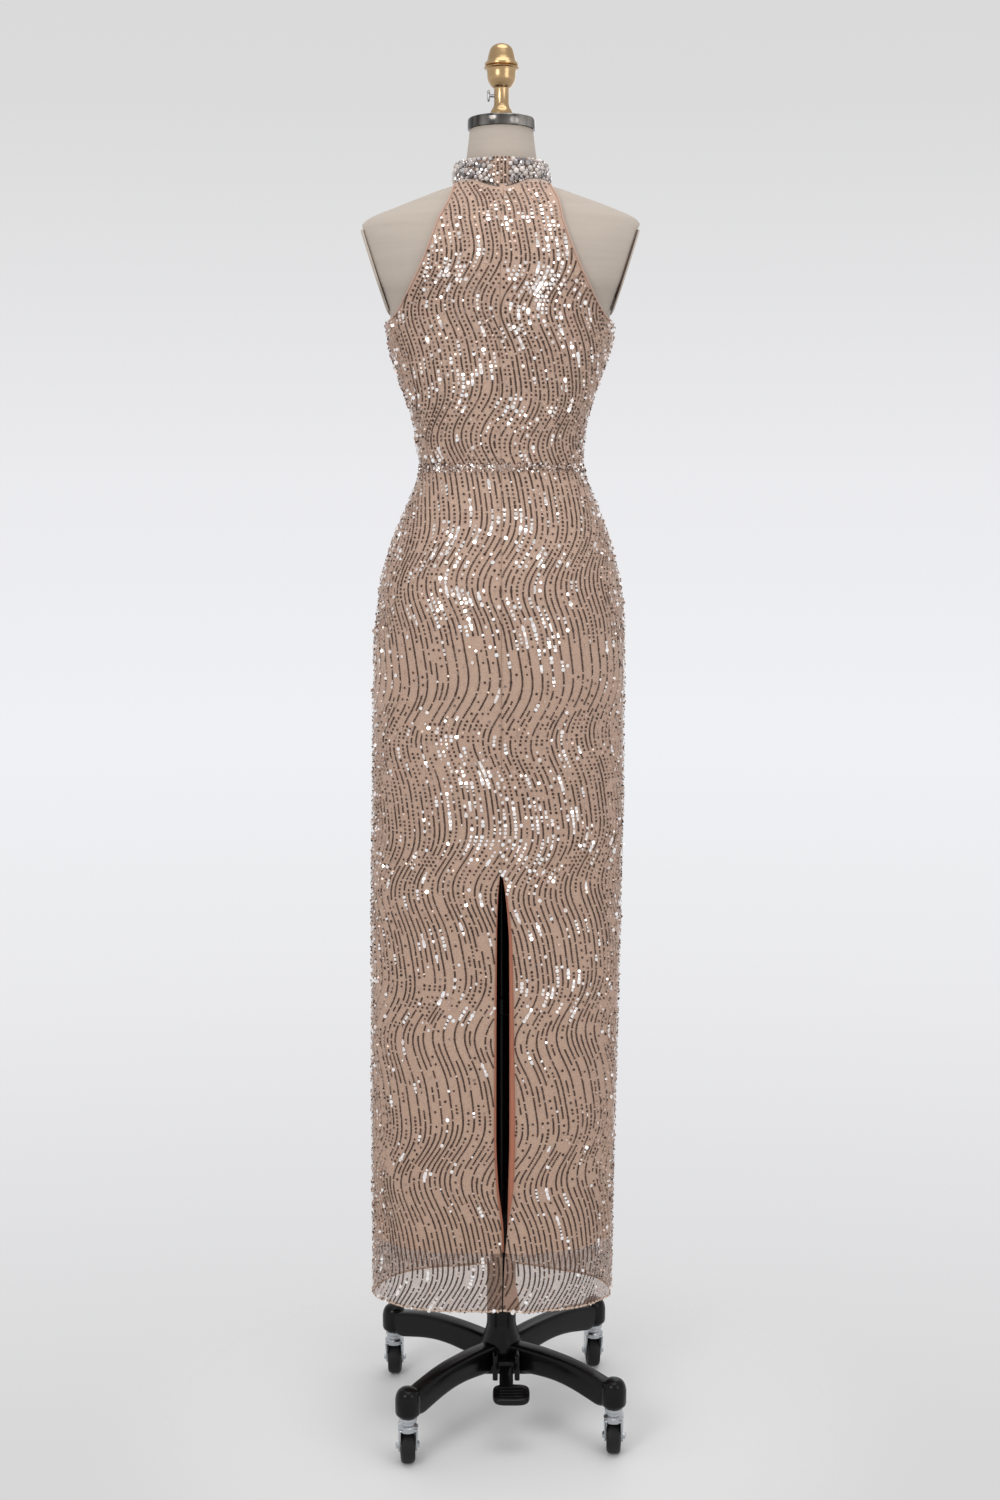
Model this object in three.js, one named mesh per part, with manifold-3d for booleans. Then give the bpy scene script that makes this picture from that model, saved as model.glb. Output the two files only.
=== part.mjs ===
// An evening gown of sequinned mesh on its limbless dress form and rolling stand.
//
// Millimetres, +Z up, origin on the floor under the post. The centre back of the gown, with its seam
// and walking slit, faces -Y, and +X is to the right seen from there. Angles round the gown start at
// the centre back and turn towards +X, so the sides are at 90 and 270 degrees.

import * as THREE from "three";
import { mergeVertices } from "three/addons/utils/BufferGeometryUtils.js";
import Module from "manifold-3d";

const wasm = await Module();
wasm.setup();

// Cloth
const SEAM_GAP = 0.3;
const FORM_CLEARANCE = 1.6;
const FORM_INSET = 3;
const CLOTH_WALL = 1.8;
const LINING_WALL = 1.2;
const LINING_DROP = 1.6;
const WAIST_Z = 1397.7;
const HEM_Z = 189;
const HEM_DIP = 7;
const SLIT_TOP_Z = 834;
const LINING_TOP_Z = 1040;
const LINING_HEM_Z = 260;
const LAST_ROW_Z = 235;
const NECK_BLEND = { z: 1690, height: 80, top: 1772 };

// Collar and the beads raised on it
const COLLAR_TOP_Z = 1812;
const COLLAR_TOP_RADIUS = 58.5;
const COLLAR_BASE_RADIUS = 62.2;
const COLLAR_WALL = 2;
const COLLAR_LIFT = 1.6;
const COLLAR_SEAM = 0.7;
const COLLAR_GAP_HALF = 1.2;
const BEADLESS_HALF = 9;
const BEAD_RISE = 4.6;
const LOW_BEAD = 0.25;

// Dress form
const NECK_TOP_Z = 1857;
const FORM_BOTTOM_Z = 1075;
const PLATE_THICKNESS = 3;
const PLATE_GAP = 0.6;
const PLATE_LOW = { z: 1602, x: 149.5 };
const PLATE_HIGH = { z: 1711, x: 184.5 };
const PLATE_FOOT_X = 151.4;
const PLATE_OUTLINE = { z: 1667, half: 54, steps: 14 };
const PLATE_SHIFT = 1.75;
const CAP_RADIUS = 46.5;
const CAP_TOP_Z = 1872.5;
const STEM_RADIUS = 10.2;
const FINIAL_JOINT_Z = 1940.5;
const FINIAL_TOP_Z = 1972;
const SCREW_Z = 1903;

// Stand
const POST_RADIUS = 16;
const POST_BORE_RADIUS = 13.2;
const POST_TOP_Z = 640;
const ROD_RADIUS = 12.8;
const ROD_BOTTOM_Z = 330;
const HUB_RADIUS = 21.5;
const HUB_TOP_Z = 232;
const HUB_FLOOR_Z = 150;
const LEG_REACH = 207;
const LEG_WIDTH = 27;
const BASE_TURN = 5.5;
const SOCKET_RADIUS = 18;
const SOCKET_BOTTOM_Z = 75;
const SOCKET_TOP_Z = 117;
const WHEEL_RADIUS = 25.2;
const WHEEL_SIDES = 18;
const WHEEL_WIDTH = 20;
const AXLE_Z = WHEEL_RADIUS * Math.cos(Math.PI / WHEEL_SIDES);
const TRAIL = 14;
const FORK = { wall: 2.2, clear: 1, crownZ: 56.5 };
const PEDAL_X = 7;
const PEDAL_PIVOT = { y: -51, z: 99 };
const PEDAL_PAD = { x: 14, y: -117, z: 85, width: 50, length: 34, thickness: 9, tilt: 15 };
const CHEEK = { width: 8, depth: 38, height: 38, apart: 32 };
const WEB = { x: 2, y: -34, z: 85, width: 104, depth: 8, height: 14 };

// Half widths and depths of the form, with the centre line's drift to one side, from the neck down
const FORM_SECTIONS = [
  { z: 1857, mid: 0, half: 46.5, back: 46.5, front: 46.5 },
  { z: 1836, mid: 0, half: 49, back: 49, front: 49 },
  { z: 1812, mid: 0, half: 52.5, back: 53, front: 52.5 },
  { z: 1796, mid: 0, half: 55.5, back: 56, front: 54 },
  { z: 1787, mid: 0, half: 59, back: 58.5, front: 56.5 },
  { z: 1778, mid: 1, half: 89, back: 61.5, front: 60 },
  { z: 1771, mid: 1.5, half: 109, back: 64.5, front: 63.5 },
  { z: 1757, mid: 3, half: 147, back: 71, front: 70 },
  { z: 1738, mid: 0.8, half: 189.5, back: 80, front: 78 },
  { z: 1724, mid: -1.5, half: 198.5, back: 86, front: 84.5 },
  { z: 1706, mid: -1.5, half: 201, back: 93, front: 91 },
  { z: 1680, mid: -1.5, half: 199, back: 99, front: 106 },
  { z: 1650, mid: -1.5, half: 190, back: 101, front: 124 },
  { z: 1625, mid: -2, half: 165.5, back: 99.5, front: 132.5 },
  { z: 1608, mid: -2, half: 157.6, back: 98.3, front: 133 },
  { z: 1590, mid: -2, half: 154.6, back: 97, front: 132 },
  { z: 1565, mid: -2.5, half: 150.5, back: 95, front: 126 },
  { z: 1520, mid: -3, half: 136, back: 92, front: 112 },
  { z: 1465, mid: -2, half: 118, back: 87, front: 99 },
  { z: 1430, mid: -1.5, half: 112.5, back: 84, front: 94 },
  { z: 1397, mid: 0.5, half: 110.5, back: 83, front: 92 },
  { z: 1354, mid: 1, half: 124, back: 91, front: 97 },
  { z: 1298, mid: -0.5, half: 147, back: 106, front: 102 },
  { z: 1242, mid: -1.5, half: 164, back: 118, front: 105 },
  { z: 1200, mid: -1, half: 170, back: 121, front: 106 },
  { z: 1129, mid: -2, half: 173, back: 117, front: 106 },
  { z: 1095, mid: -2, half: 169, back: 112, front: 104 },
  { z: 1080, mid: -2, half: 163, back: 107, front: 99 },
  { z: 1075, mid: -2, half: 154, back: 100, front: 92 },
];

// The inside of the skirt: it follows the hips, then hangs straight and flattens towards the hem
const SKIRT_SECTIONS = [
  { z: 1400, mid: 0.5, half: 112, back: 84.3, front: 93.4 },
  { z: 1382, mid: 1, half: 116.4, back: 86.6, front: 95.2 },
  { z: 1354, mid: 1, half: 128.2, back: 92.8, front: 98.8 },
  { z: 1326, mid: 0.5, half: 139.4, back: 100.5, front: 101.6 },
  { z: 1298, mid: -0.5, half: 150.6, back: 107.8, front: 103.8 },
  { z: 1270, mid: -1, half: 159, back: 114.6, front: 105.6 },
  { z: 1242, mid: -1.5, half: 166, back: 119.9, front: 107 },
  { z: 1200, mid: -1.5, half: 171.6, back: 122.8, front: 108 },
  { z: 1157, mid: -3, half: 174.6, back: 121.5, front: 108.6 },
  { z: 1100, mid: -3.5, half: 176.2, back: 117.6, front: 108 },
  { z: 1043, mid: -4.5, half: 176.4, back: 113, front: 106.5 },
  { z: 985, mid: -4.5, half: 176.6, back: 108, front: 104 },
  { z: 905, mid: -5.5, half: 177.2, back: 102, front: 100 },
  { z: 834, mid: -7, half: 177.4, back: 98.5, front: 97.5 },
  { z: 752, mid: -8, half: 177.4, back: 95.5, front: 95 },
  { z: 633, mid: -9.5, half: 176.6, back: 93, front: 92 },
  { z: 513, mid: -11.5, half: 176, back: 91, front: 90 },
  { z: 392, mid: -12.5, half: 175, back: 89.5, front: 88.5 },
  { z: 300, mid: -13, half: 174.4, back: 88.5, front: 87.5 },
  { z: 180, mid: -14, half: 174, back: 88, front: 87 },
];

// Half width between the armholes, from the collar to the underarm
const ARMHOLE = [
  { z: 1790, half: 58 },
  { z: 1783, half: 61 },
  { z: 1744, half: 77 },
  { z: 1723, half: 84.5 },
  { z: 1707, half: 90 },
  { z: 1665, half: 107 },
  { z: 1633, half: 124.5 },
  { z: 1609, half: 138.5 },
  { z: 1601, half: 146 },
  { z: 1594, half: 160 },
  { z: 1390, half: 200 },
];

// How far the four edges of the slit lie from the centre line
const SLIT = [
  { z: 834, skirtLeft: -0.9, liningLeft: -0.9, liningRight: -0.6, skirtRight: -0.6 },
  { z: 805, skirtLeft: -7, liningLeft: -5, liningRight: 8.4, skirtRight: 11 },
  { z: 740, skirtLeft: -8, liningLeft: -6, liningRight: 10.6, skirtRight: 15 },
  { z: 620, skirtLeft: -9.6, liningLeft: -6.4, liningRight: 11.4, skirtRight: 18 },
  { z: 455, skirtLeft: -10.6, liningLeft: -6.6, liningRight: 11.2, skirtRight: 20 },
  { z: 385, skirtLeft: -7.6, liningLeft: -3.6, liningRight: 9.8, skirtRight: 18 },
  { z: 315, skirtLeft: 0.6, liningLeft: 3.8, liningRight: 8.4, skirtRight: 9 },
  { z: 260, skirtLeft: 2.2, liningLeft: 5, liningRight: 7.4, skirtRight: 4.6 },
  { z: 180, skirtLeft: 0.6, liningLeft: 5, liningRight: 7.4, skirtRight: 2.2 },
];

// Soft vertical folds of the skirt, by their place and half breadth in degrees and depth in millimetres
const FOLDS = [
  { at: 6, breadth: 6, depth: -6, top: 830, full: 560 },
  { at: 14, breadth: 7, depth: 3, top: 800, full: 420 },
  { at: 41, breadth: 13, depth: 3.4, top: 900, full: 300 },
  { at: 66, breadth: 9, depth: -2.6, top: 700, full: 260 },
  { at: 118, breadth: 15, depth: 4.2, top: 960, full: 330 },
  { at: 146, breadth: 11, depth: -3.6, top: 820, full: 260 },
  { at: 171, breadth: 13, depth: 4.6, top: 900, full: 280 },
  { at: 197, breadth: 10, depth: -3, top: 760, full: 300 },
  { at: 226, breadth: 16, depth: 4, top: 980, full: 340 },
  { at: 296, breadth: 10, depth: -2.4, top: 680, full: 300 },
  { at: 322, breadth: 14, depth: 3.6, top: 940, full: 320 },
  { at: 352, breadth: 7, depth: -2.6, top: 820, full: 520 },
];

// Swivel and turn of each caster: the leg it is on and the way its wheel trails, in degrees
const CASTERS = [
  { name: "1", leg: 225, trail: 96 },
  { name: "2", leg: 315, trail: 84 },
  { name: "3", leg: 40, trail: 94 },
  { name: "4", leg: 138, trail: 89 },
];

const radians = THREE.MathUtils.degToRad;
const material = (color, roughness, metalness = 0) =>
  new THREE.MeshStandardMaterial({ color, roughness, metalness });

const SEQUIN_MESH = material("#b8957d", 0.42, 0.2);
const LINING_SATIN = material("#b57a60", 0.55);
const BEADED_BAND = material("#cfc8c4", 0.25, 0.15);
const LINEN = material("#c9bfae", 0.85);
const PLATE_WOOD = material("#5a4638", 0.6);
const DARK_STEEL = material("#5a5c5c", 0.25, 0.9);
const BRASS = material("#a98650", 0.32, 0.95);
const BRIGHT_STEEL = material("#c2c5c8", 0.2, 1);
const BLACK_ENAMEL = material("#111112", 0.18);
const BLACK_TYRE = material("#1a1a1b", 0.5);

// A value between the rows of a table, as a smooth curve that never overshoots them
function along(rows, key, z) {
  const last = rows.length - 1;
  const secant = (k) => (rows[k + 1][key] - rows[k][key]) / (rows[k + 1].z - rows[k].z);
  const slope = (k) => {
    if (k === 0) return secant(0);
    if (k === last) return secant(last - 1);
    const [before, after] = [secant(k - 1), secant(k)];
    return before * after > 0 ? (2 * before * after) / (before + after) : 0;
  };
  let k = 0;
  while (k < last - 1 && z < rows[k + 1].z) k += 1;
  const span = rows[k + 1].z - rows[k].z;
  const t = THREE.MathUtils.clamp((z - rows[k].z) / span, 0, 1);
  const rise = t * t * (3 - 2 * t);
  const start = t * (1 - t) * (1 - t) * span * slope(k);
  const end = t * t * (1 - t) * span * slope(k + 1);
  return rows[k][key] * (1 - rise) + rows[k + 1][key] * rise + start - end;
}

// The depth of all the folds at one place of the skirt
function foldDepth(angle, z) {
  const degrees = THREE.MathUtils.radToDeg(angle);
  let depth = 0;
  for (const fold of FOLDS) {
    const away = Math.abs(THREE.MathUtils.euclideanModulo(degrees - fold.at + 180, 360) - 180);
    const reach = THREE.MathUtils.smoothstep(-z, -fold.top, -fold.full);
    depth += fold.depth * reach * Math.exp(-((away / fold.breadth) ** 2));
  }
  return depth;
}

// A point of an oval section, pushed out by the folds where there are any
function sectionPoint(rows, angle, z, folds) {
  const [s, c] = [Math.sin(angle), Math.cos(angle)];
  const push = folds ? foldDepth(angle, z) : 0;
  const half = along(rows, "half", z) + push;
  const depth = along(rows, c >= 0 ? "back" : "front", z) + push;
  return new THREE.Vector3(along(rows, "mid", z) + half * s, -depth * c, z);
}

const formPoint = (angle, z) => sectionPoint(FORM_SECTIONS, angle, z, false);
const skirtPoint = (angle, z) => sectionPoint(SKIRT_SECTIONS, angle, z, true);

// The same point moved out along the surface's own normal
function movedOut(surface, angle, z, distance) {
  const step = 0.01;
  const across = surface(angle + step, z).sub(surface(angle - step, z));
  const up = surface(angle, z + 0.4).sub(surface(angle, z - 0.4));
  const normal = across.cross(up).normalize();
  return surface(angle, z).addScaledVector(normal, distance);
}

// The angle on the back half (or, turned, the front half) where a section is at a distance from its middle
function angleAt(rows, x, z) {
  const share = (x - along(rows, "mid", z)) / along(rows, "half", z);
  return Math.asin(THREE.MathUtils.clamp(share, -1, 1));
}

// Where the base of the collar runs round the neck of the form
function necklineZ(angle, radius) {
  let [high, low] = [1800, 1740];
  for (let k = 0; k < 24; k += 1) {
    const z = (high + low) / 2;
    const p = formPoint(angle, z);
    if (Math.hypot(p.x, p.y) < radius) high = z;
    else low = z;
  }
  return (high + low) / 2;
}

// A geometry from points and triangles, turned to face outwards
function geometryOf(points, index) {
  const geometry = new THREE.BufferGeometry().setFromPoints(points);
  geometry.setIndex(index);
  return outward(geometry);
}

function outward(geometry) {
  const p = geometry.attributes.position;
  const index = geometry.index ? geometry.index.array : [...Array(p.count).keys()];
  const [a, b, c] = [new THREE.Vector3(), new THREE.Vector3(), new THREE.Vector3()];
  let volume = 0;
  for (let i = 0; i < index.length; i += 3) {
    a.fromBufferAttribute(p, index[i]);
    b.fromBufferAttribute(p, index[i + 1]);
    c.fromBufferAttribute(p, index[i + 2]);
    volume += a.dot(b.cross(c));
  }
  if (volume < 0) {
    const turned = Array.from(index);
    for (let i = 0; i < turned.length; i += 3) {
      [turned[i + 1], turned[i + 2]] = [turned[i + 2], turned[i + 1]];
    }
    geometry.setIndex(turned);
  }
  return geometry;
}

// A closed wall between two grids of points, rows from the top down and columns to the right
function wall(outer, inner) {
  const [rows, columns] = [outer.length, outer[0].length];
  const index = [];
  const out = (i, j) => i * columns + j;
  const inn = (i, j) => (rows + i) * columns + j;
  const quad = (a, b, c, d) => index.push(a, b, c, a, c, d);
  const [low, far] = [rows - 1, columns - 1];
  for (let i = 0; i < low; i += 1) {
    for (let j = 0; j < far; j += 1) {
      quad(out(i, j), out(i + 1, j), out(i + 1, j + 1), out(i, j + 1));
      quad(inn(i, j), inn(i, j + 1), inn(i + 1, j + 1), inn(i + 1, j));
    }
    quad(out(i, 0), inn(i, 0), inn(i + 1, 0), out(i + 1, 0));
    quad(out(i + 1, far), inn(i + 1, far), inn(i, far), out(i, far));
  }
  for (let j = 0; j < far; j += 1) {
    quad(out(0, j), out(0, j + 1), inn(0, j + 1), inn(0, j));
    quad(out(low, j + 1), out(low, j), inn(low, j), inn(low, j + 1));
  }
  return geometryOf([...outer.flat(), ...inner.flat()], index);
}

// A closed body through rings of points, with flat ends
function body(rings) {
  const count = rings[0].length;
  const index = [];
  for (let i = 0; i < rings.length - 1; i += 1) {
    for (let j = 0; j < count; j += 1) {
      const k = (j + 1) % count;
      index.push(i * count + j, (i + 1) * count + j, (i + 1) * count + k);
      index.push(i * count + j, (i + 1) * count + k, i * count + k);
    }
  }
  const points = rings.flat();
  for (const [ring, flip] of [[0, false], [rings.length - 1, true]]) {
    const centre = new THREE.Vector3();
    rings[ring].forEach((p) => centre.addScaledVector(p, 1 / count));
    points.push(centre);
    for (let j = 0; j < count; j += 1) {
      const pair = [ring * count + j, ring * count + ((j + 1) % count)];
      index.push(points.length - 1, ...(flip ? pair.reverse() : pair));
    }
  }
  return geometryOf(points, index);
}

// A turned piece from its half outline, standing on +Z
function turned(outline, sides) {
  const points = outline.map(([r, z]) => new THREE.Vector2(r, z));
  const geometry = new THREE.LatheGeometry(points, sides);
  return outward(geometry.rotateX(Math.PI / 2));
}

// A turned ring: the outline closes on itself
const turnedRing = (outline, sides) => turned([...outline, outline[0]], sides);

function toSolid(geometry) {
  const plain = geometry.clone();
  plain.deleteAttribute("normal");
  plain.deleteAttribute("uv");
  const merged = mergeVertices(plain, 1e-3);
  return new wasm.Manifold(
    new wasm.Mesh({
      numProp: 3,
      vertProperties: merged.attributes.position.array,
      triVerts: new Uint32Array(merged.index.array),
    }),
  );
}

function joined(geometries) {
  const [first, ...others] = geometries.map((g) => toSolid(outward(g)));
  const whole = others.reduce((sum, next) => sum.add(next), first).getMesh();
  const geometry = new THREE.BufferGeometry();
  geometry.setAttribute("position", new THREE.BufferAttribute(whole.vertProperties, 3));
  geometry.setIndex(new THREE.BufferAttribute(whole.triVerts, 1));
  return geometry;
}

function named(name, geometry, look) {
  const mesh = new THREE.Mesh(geometry, look);
  mesh.name = name;
  return mesh;
}

// The two faces of a cloth panel between a left and a right edge, both angles that may change with height
function panel(surface, rowsOfZ, leftEdge, rightEdge, columns, inside, thickness) {
  const face = (distance) =>
    rowsOfZ.map((rowZ) =>
      Array.from({ length: columns + 1 }, (_, j) => {
        const share = j / columns;
        const nominal = rowZ(leftEdge, rightEdge, share);
        return movedOut(surface, nominal.angle, nominal.z, distance);
      }),
    );
  return wall(face(inside + thickness), face(inside));
}

// A row of a panel: its height may follow a curve, and its edges are found at that height
function rowAt(heightOf) {
  return (leftEdge, rightEdge, share) => {
    let z = heightOf(0);
    let angle = 0;
    for (let k = 0; k < 4; k += 1) {
      angle = THREE.MathUtils.lerp(leftEdge(z), rightEdge(z), share);
      z = heightOf(angle);
    }
    return { angle, z };
  };
}

const sideSeam = (rows, z) => SEAM_GAP / 2 / along(rows, "back", z);

// Skirt: three panels from the waist seam to the hem
function skirt(group) {
  const hemZ = (angle) => HEM_Z + HEM_DIP * Math.abs(Math.cos(angle));
  const levels = [
    ...SKIRT_SECTIONS.slice(1, -1).map((row) => () => row.z),
    () => LAST_ROW_Z,
  ];
  const rows = [() => WAIST_Z - SEAM_GAP, ...levels, hemZ].map(rowAt);
  const seam = (z) => sideSeam(SKIRT_SECTIONS, z);
  const slit = (key, z) => {
    const x = z > SLIT_TOP_Z ? 0 : along(SLIT, key, z);
    const apart = (key === "skirtLeft" ? -SEAM_GAP : SEAM_GAP) / 2;
    return angleAt(SKIRT_SECTIONS, x + apart, z);
  };
  const sides = [Math.PI / 2, (3 * Math.PI) / 2, 2 * Math.PI];
  const edges = {
    skirt_back_right: [(z) => slit("skirtRight", z), (z) => sides[0] - seam(z), 9],
    skirt_front: [(z) => sides[0] + seam(z), (z) => sides[1] - seam(z), 16],
    skirt_back_left: [(z) => sides[1] + seam(z), (z) => sides[2] + slit("skirtLeft", z), 9],
  };
  for (const [name, [left, right, columns]] of Object.entries(edges)) {
    const geometry = panel(skirtPoint, rows, left, right, columns, 0, CLOTH_WALL);
    group.add(named(name, geometry, SEQUIN_MESH));
  }
}

// Lining: three panels inside the lower skirt, cut shorter than the hem
function lining(group) {
  const rows = [LINING_TOP_Z, 940, 834, 752, 690, 560, 455, 385, 315, LINING_HEM_Z].map((z) =>
    rowAt(() => z),
  );
  const seam = (z) => sideSeam(SKIRT_SECTIONS, z);
  const slit = (key, z) => {
    const x = z > SLIT_TOP_Z ? 0 : along(SLIT, key, z);
    const apart = (key === "liningLeft" ? -SEAM_GAP : SEAM_GAP) / 2;
    return angleAt(SKIRT_SECTIONS, x + apart, z);
  };
  const sides = [Math.PI / 2, (3 * Math.PI) / 2, 2 * Math.PI];
  const edges = {
    lining_back_right: [(z) => slit("liningRight", z), (z) => sides[0] - seam(z), 8],
    lining_front: [(z) => sides[0] + seam(z), (z) => sides[1] - seam(z), 16],
    lining_back_left: [(z) => sides[1] + seam(z), (z) => sides[2] + slit("liningLeft", z), 8],
  };
  const inside = -LINING_DROP - LINING_WALL;
  for (const [name, [left, right, columns]] of Object.entries(edges)) {
    const geometry = panel(skirtPoint, rows, left, right, columns, inside, LINING_WALL);
    group.add(named(name, geometry, LINING_SATIN));
  }
}

// Bodice: two backs and a front, cut in at the armholes up to the collar
function bodice(group) {
  const neckRadius = COLLAR_BASE_RADIUS + COLLAR_WALL + COLLAR_SEAM;
  const neck = (angle) => necklineZ(angle, neckRadius);
  const blended = (z) => (angle) => {
    const share = THREE.MathUtils.clamp((z - NECK_BLEND.z) / NECK_BLEND.height, 0, 1);
    return z + share * (neck(angle) - NECK_BLEND.top);
  };
  const heights = [
    1764, 1752, 1738, 1720, 1700, 1680, 1660, 1640, 1620, 1607, 1602, 1597, 1560, 1520, 1492, 1465, 1430,
  ];
  const rows = [neck, ...heights.map(blended), () => WAIST_Z + SEAM_GAP].map(rowAt);
  const armhole = (z) => {
    const share = along(ARMHOLE, "half", z) / along(FORM_SECTIONS, "half", z);
    return Math.min(Math.asin(Math.min(share, 1)), Math.PI / 2 - sideSeam(FORM_SECTIONS, z));
  };
  const centre = (z) => SEAM_GAP / 2 / along(FORM_SECTIONS, "half", z);
  const edges = {
    bodice_back_right: [centre, armhole, 8],
    bodice_front: [(z) => Math.PI - armhole(z), (z) => Math.PI + armhole(z), 16],
    bodice_back_left: [(z) => 2 * Math.PI - armhole(z), (z) => 2 * Math.PI - centre(z), 8],
  };
  for (const [name, [left, right, columns]] of Object.entries(edges)) {
    const geometry = panel(formPoint, rows, left, right, columns, FORM_CLEARANCE, CLOTH_WALL);
    group.add(named(name, geometry, SEQUIN_MESH));
  }
}

// Collar: a band open at the centre back, its outer face raised into rows of large beads
function collar(group) {
  const [columns, rows] = [72, 6];
  const gap = COLLAR_GAP_HALF / COLLAR_BASE_RADIUS;
  const rise = (i, j, angle) => {
    const x = Math.abs(COLLAR_BASE_RADIUS * Math.sin(angle));
    const beadless = Math.cos(angle) > 0 && x < BEADLESS_HALF;
    const edge = i === 0 || i === rows - 1 || j === 0 || j === columns;
    if (beadless || edge) return 0;
    const size = 0.75 + 0.25 * Math.sin(7.3 * i + 12.7 * j);
    return BEAD_RISE * size * ((i + j) % 2 ? LOW_BEAD : 1);
  };
  const face = (outer) =>
    Array.from({ length: rows }, (_, i) =>
      Array.from({ length: columns + 1 }, (_, j) => {
        const angle = THREE.MathUtils.lerp(gap, 2 * Math.PI - gap, j / columns);
        const share = i / (rows - 1);
        const bottom = necklineZ(angle, COLLAR_BASE_RADIUS + COLLAR_WALL) + COLLAR_LIFT;
        const base = THREE.MathUtils.lerp(COLLAR_TOP_RADIUS, COLLAR_BASE_RADIUS, share);
        const radius = base + (outer ? COLLAR_WALL + rise(i, j, angle) : 0);
        return new THREE.Vector3(
          radius * Math.sin(angle),
          -radius * Math.cos(angle),
          THREE.MathUtils.lerp(COLLAR_TOP_Z, bottom, share),
        );
      }),
    );
  group.add(named("collar", wall(face(true), face(false)), BEADED_BAND));
}

// The plane that cuts the form where an arm would be
const plateSlope = (PLATE_HIGH.x - PLATE_LOW.x) / (PLATE_HIGH.z - PLATE_LOW.z);
const plateX = (z) => PLATE_LOW.x + plateSlope * (z - PLATE_LOW.z);

// Form: neck, shoulders and trunk in one smooth body, cut off flat at the arms
function form(group) {
  const sides = 36;
  const between = [1791, 1781, 1764, 1748, 1693, 1665, 1600];
  const levels = [...FORM_SECTIONS.map((row) => row.z), ...between].sort((a, b) => b - a);
  const rings = levels.map((z) =>
    Array.from({ length: sides }, (_, j) => {
      const p = movedOut(formPoint, (2 * Math.PI * j) / sides, z, -FORM_INSET);
      const limit = Math.max(plateX(z), PLATE_FOOT_X);
      const mid = along(FORM_SECTIONS, "mid", z);
      p.x = THREE.MathUtils.clamp(p.x, mid - limit, mid + limit);
      if (z === NECK_TOP_Z || z === FORM_BOTTOM_Z) p.z = z;
      return p;
    }),
  );
  group.add(named("torso", body(rings), LINEN));
}

// Arm plates: thin boards that follow the outline of each cut
function armPlates(group) {
  const tilt = Math.atan(plateSlope);
  const { z: middle, half, steps } = PLATE_OUTLINE;
  const turn = (k) => (Math.PI * k) / steps;
  const heights = Array.from({ length: steps + 1 }, (_, k) => middle - half * Math.cos(turn(k)));
  const edge = (key, z) => {
    const share = plateX(z) / along(FORM_SECTIONS, "half", z);
    return along(FORM_SECTIONS, key, z) * Math.sqrt(Math.max(1 - share * share, 0));
  };
  for (const [side, name] of [[1, "arm_plate_right"], [-1, "arm_plate_left"]]) {
    const outline = [
      ...heights.map((z) => [-edge("back", z), z]),
      ...[...heights].reverse().map((z) => [edge("front", z), z]),
    ];
    const points = outline.map(
      ([y, z]) => new THREE.Vector2(side * y, (z - PLATE_LOW.z) / Math.cos(tilt)),
    );
    const geometry = new THREE.ExtrudeGeometry(new THREE.Shape(points), {
      depth: PLATE_THICKNESS,
      bevelEnabled: false,
    });
    const mesh = named(name, outward(geometry), PLATE_WOOD);
    const u = new THREE.Vector3(0, side, 0);
    const v = new THREE.Vector3(side * Math.sin(tilt), 0, Math.cos(tilt));
    const n = new THREE.Vector3().crossVectors(u, v);
    const place = new THREE.Matrix4().makeBasis(u, v, n);
    mesh.applyMatrix4(place);
    mesh.position.set(side * PLATE_LOW.x - PLATE_SHIFT, 0, PLATE_LOW.z);
    mesh.position.addScaledVector(n, PLATE_GAP);
    group.add(mesh);
  }
}

// Neck cap and finial
function neckTop(group) {
  const cap = turned(
    [
      [0, NECK_TOP_Z + SEAM_GAP],
      [CAP_RADIUS, NECK_TOP_Z + SEAM_GAP],
      [CAP_RADIUS, CAP_TOP_Z - 2],
      [CAP_RADIUS - 2.5, CAP_TOP_Z],
      [0, CAP_TOP_Z],
    ],
    32,
  );
  group.add(named("neck_cap", cap, DARK_STEEL));

  const base = CAP_TOP_Z + SEAM_GAP;
  const stem = turned(
    [
      [0, base],
      [16.5, base],
      [15.8, base + 7],
      [14, base + 11],
      [STEM_RADIUS, base + 18],
      [STEM_RADIUS, 1911],
      [15, 1916],
      [18.3, 1925],
      [20, 1934],
      [24, FINIAL_JOINT_Z],
      [0, FINIAL_JOINT_Z],
    ],
    18,
  );
  group.add(named("finial_stem", stem, BRASS));

  const dome = turned(
    [
      [0, FINIAL_JOINT_Z + SEAM_GAP],
      [23, FINIAL_JOINT_Z + SEAM_GAP],
      [21, FINIAL_JOINT_Z + 6.5],
      [19, FINIAL_JOINT_Z + 14.5],
      [17.3, FINIAL_JOINT_Z + 22],
      [9, FINIAL_TOP_Z - 1.5],
      [0, FINIAL_TOP_Z],
    ],
    18,
  );
  group.add(named("finial_cap", dome, BRASS));

  const shank = new THREE.CylinderGeometry(2.2, 2.2, 7, 10).rotateZ(Math.PI / 2);
  shank.translate(-STEM_RADIUS - 3.5 - SEAM_GAP, 0, SCREW_Z);
  const wing = new THREE.SphereGeometry(1, 10, 6);
  wing.scale(2.6, 3.2, 8.5);
  wing.translate(-STEM_RADIUS - 7.5, 0, SCREW_Z);
  group.add(named("thumb_screw", joined([shank, wing]), BRIGHT_STEEL));
}

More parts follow.
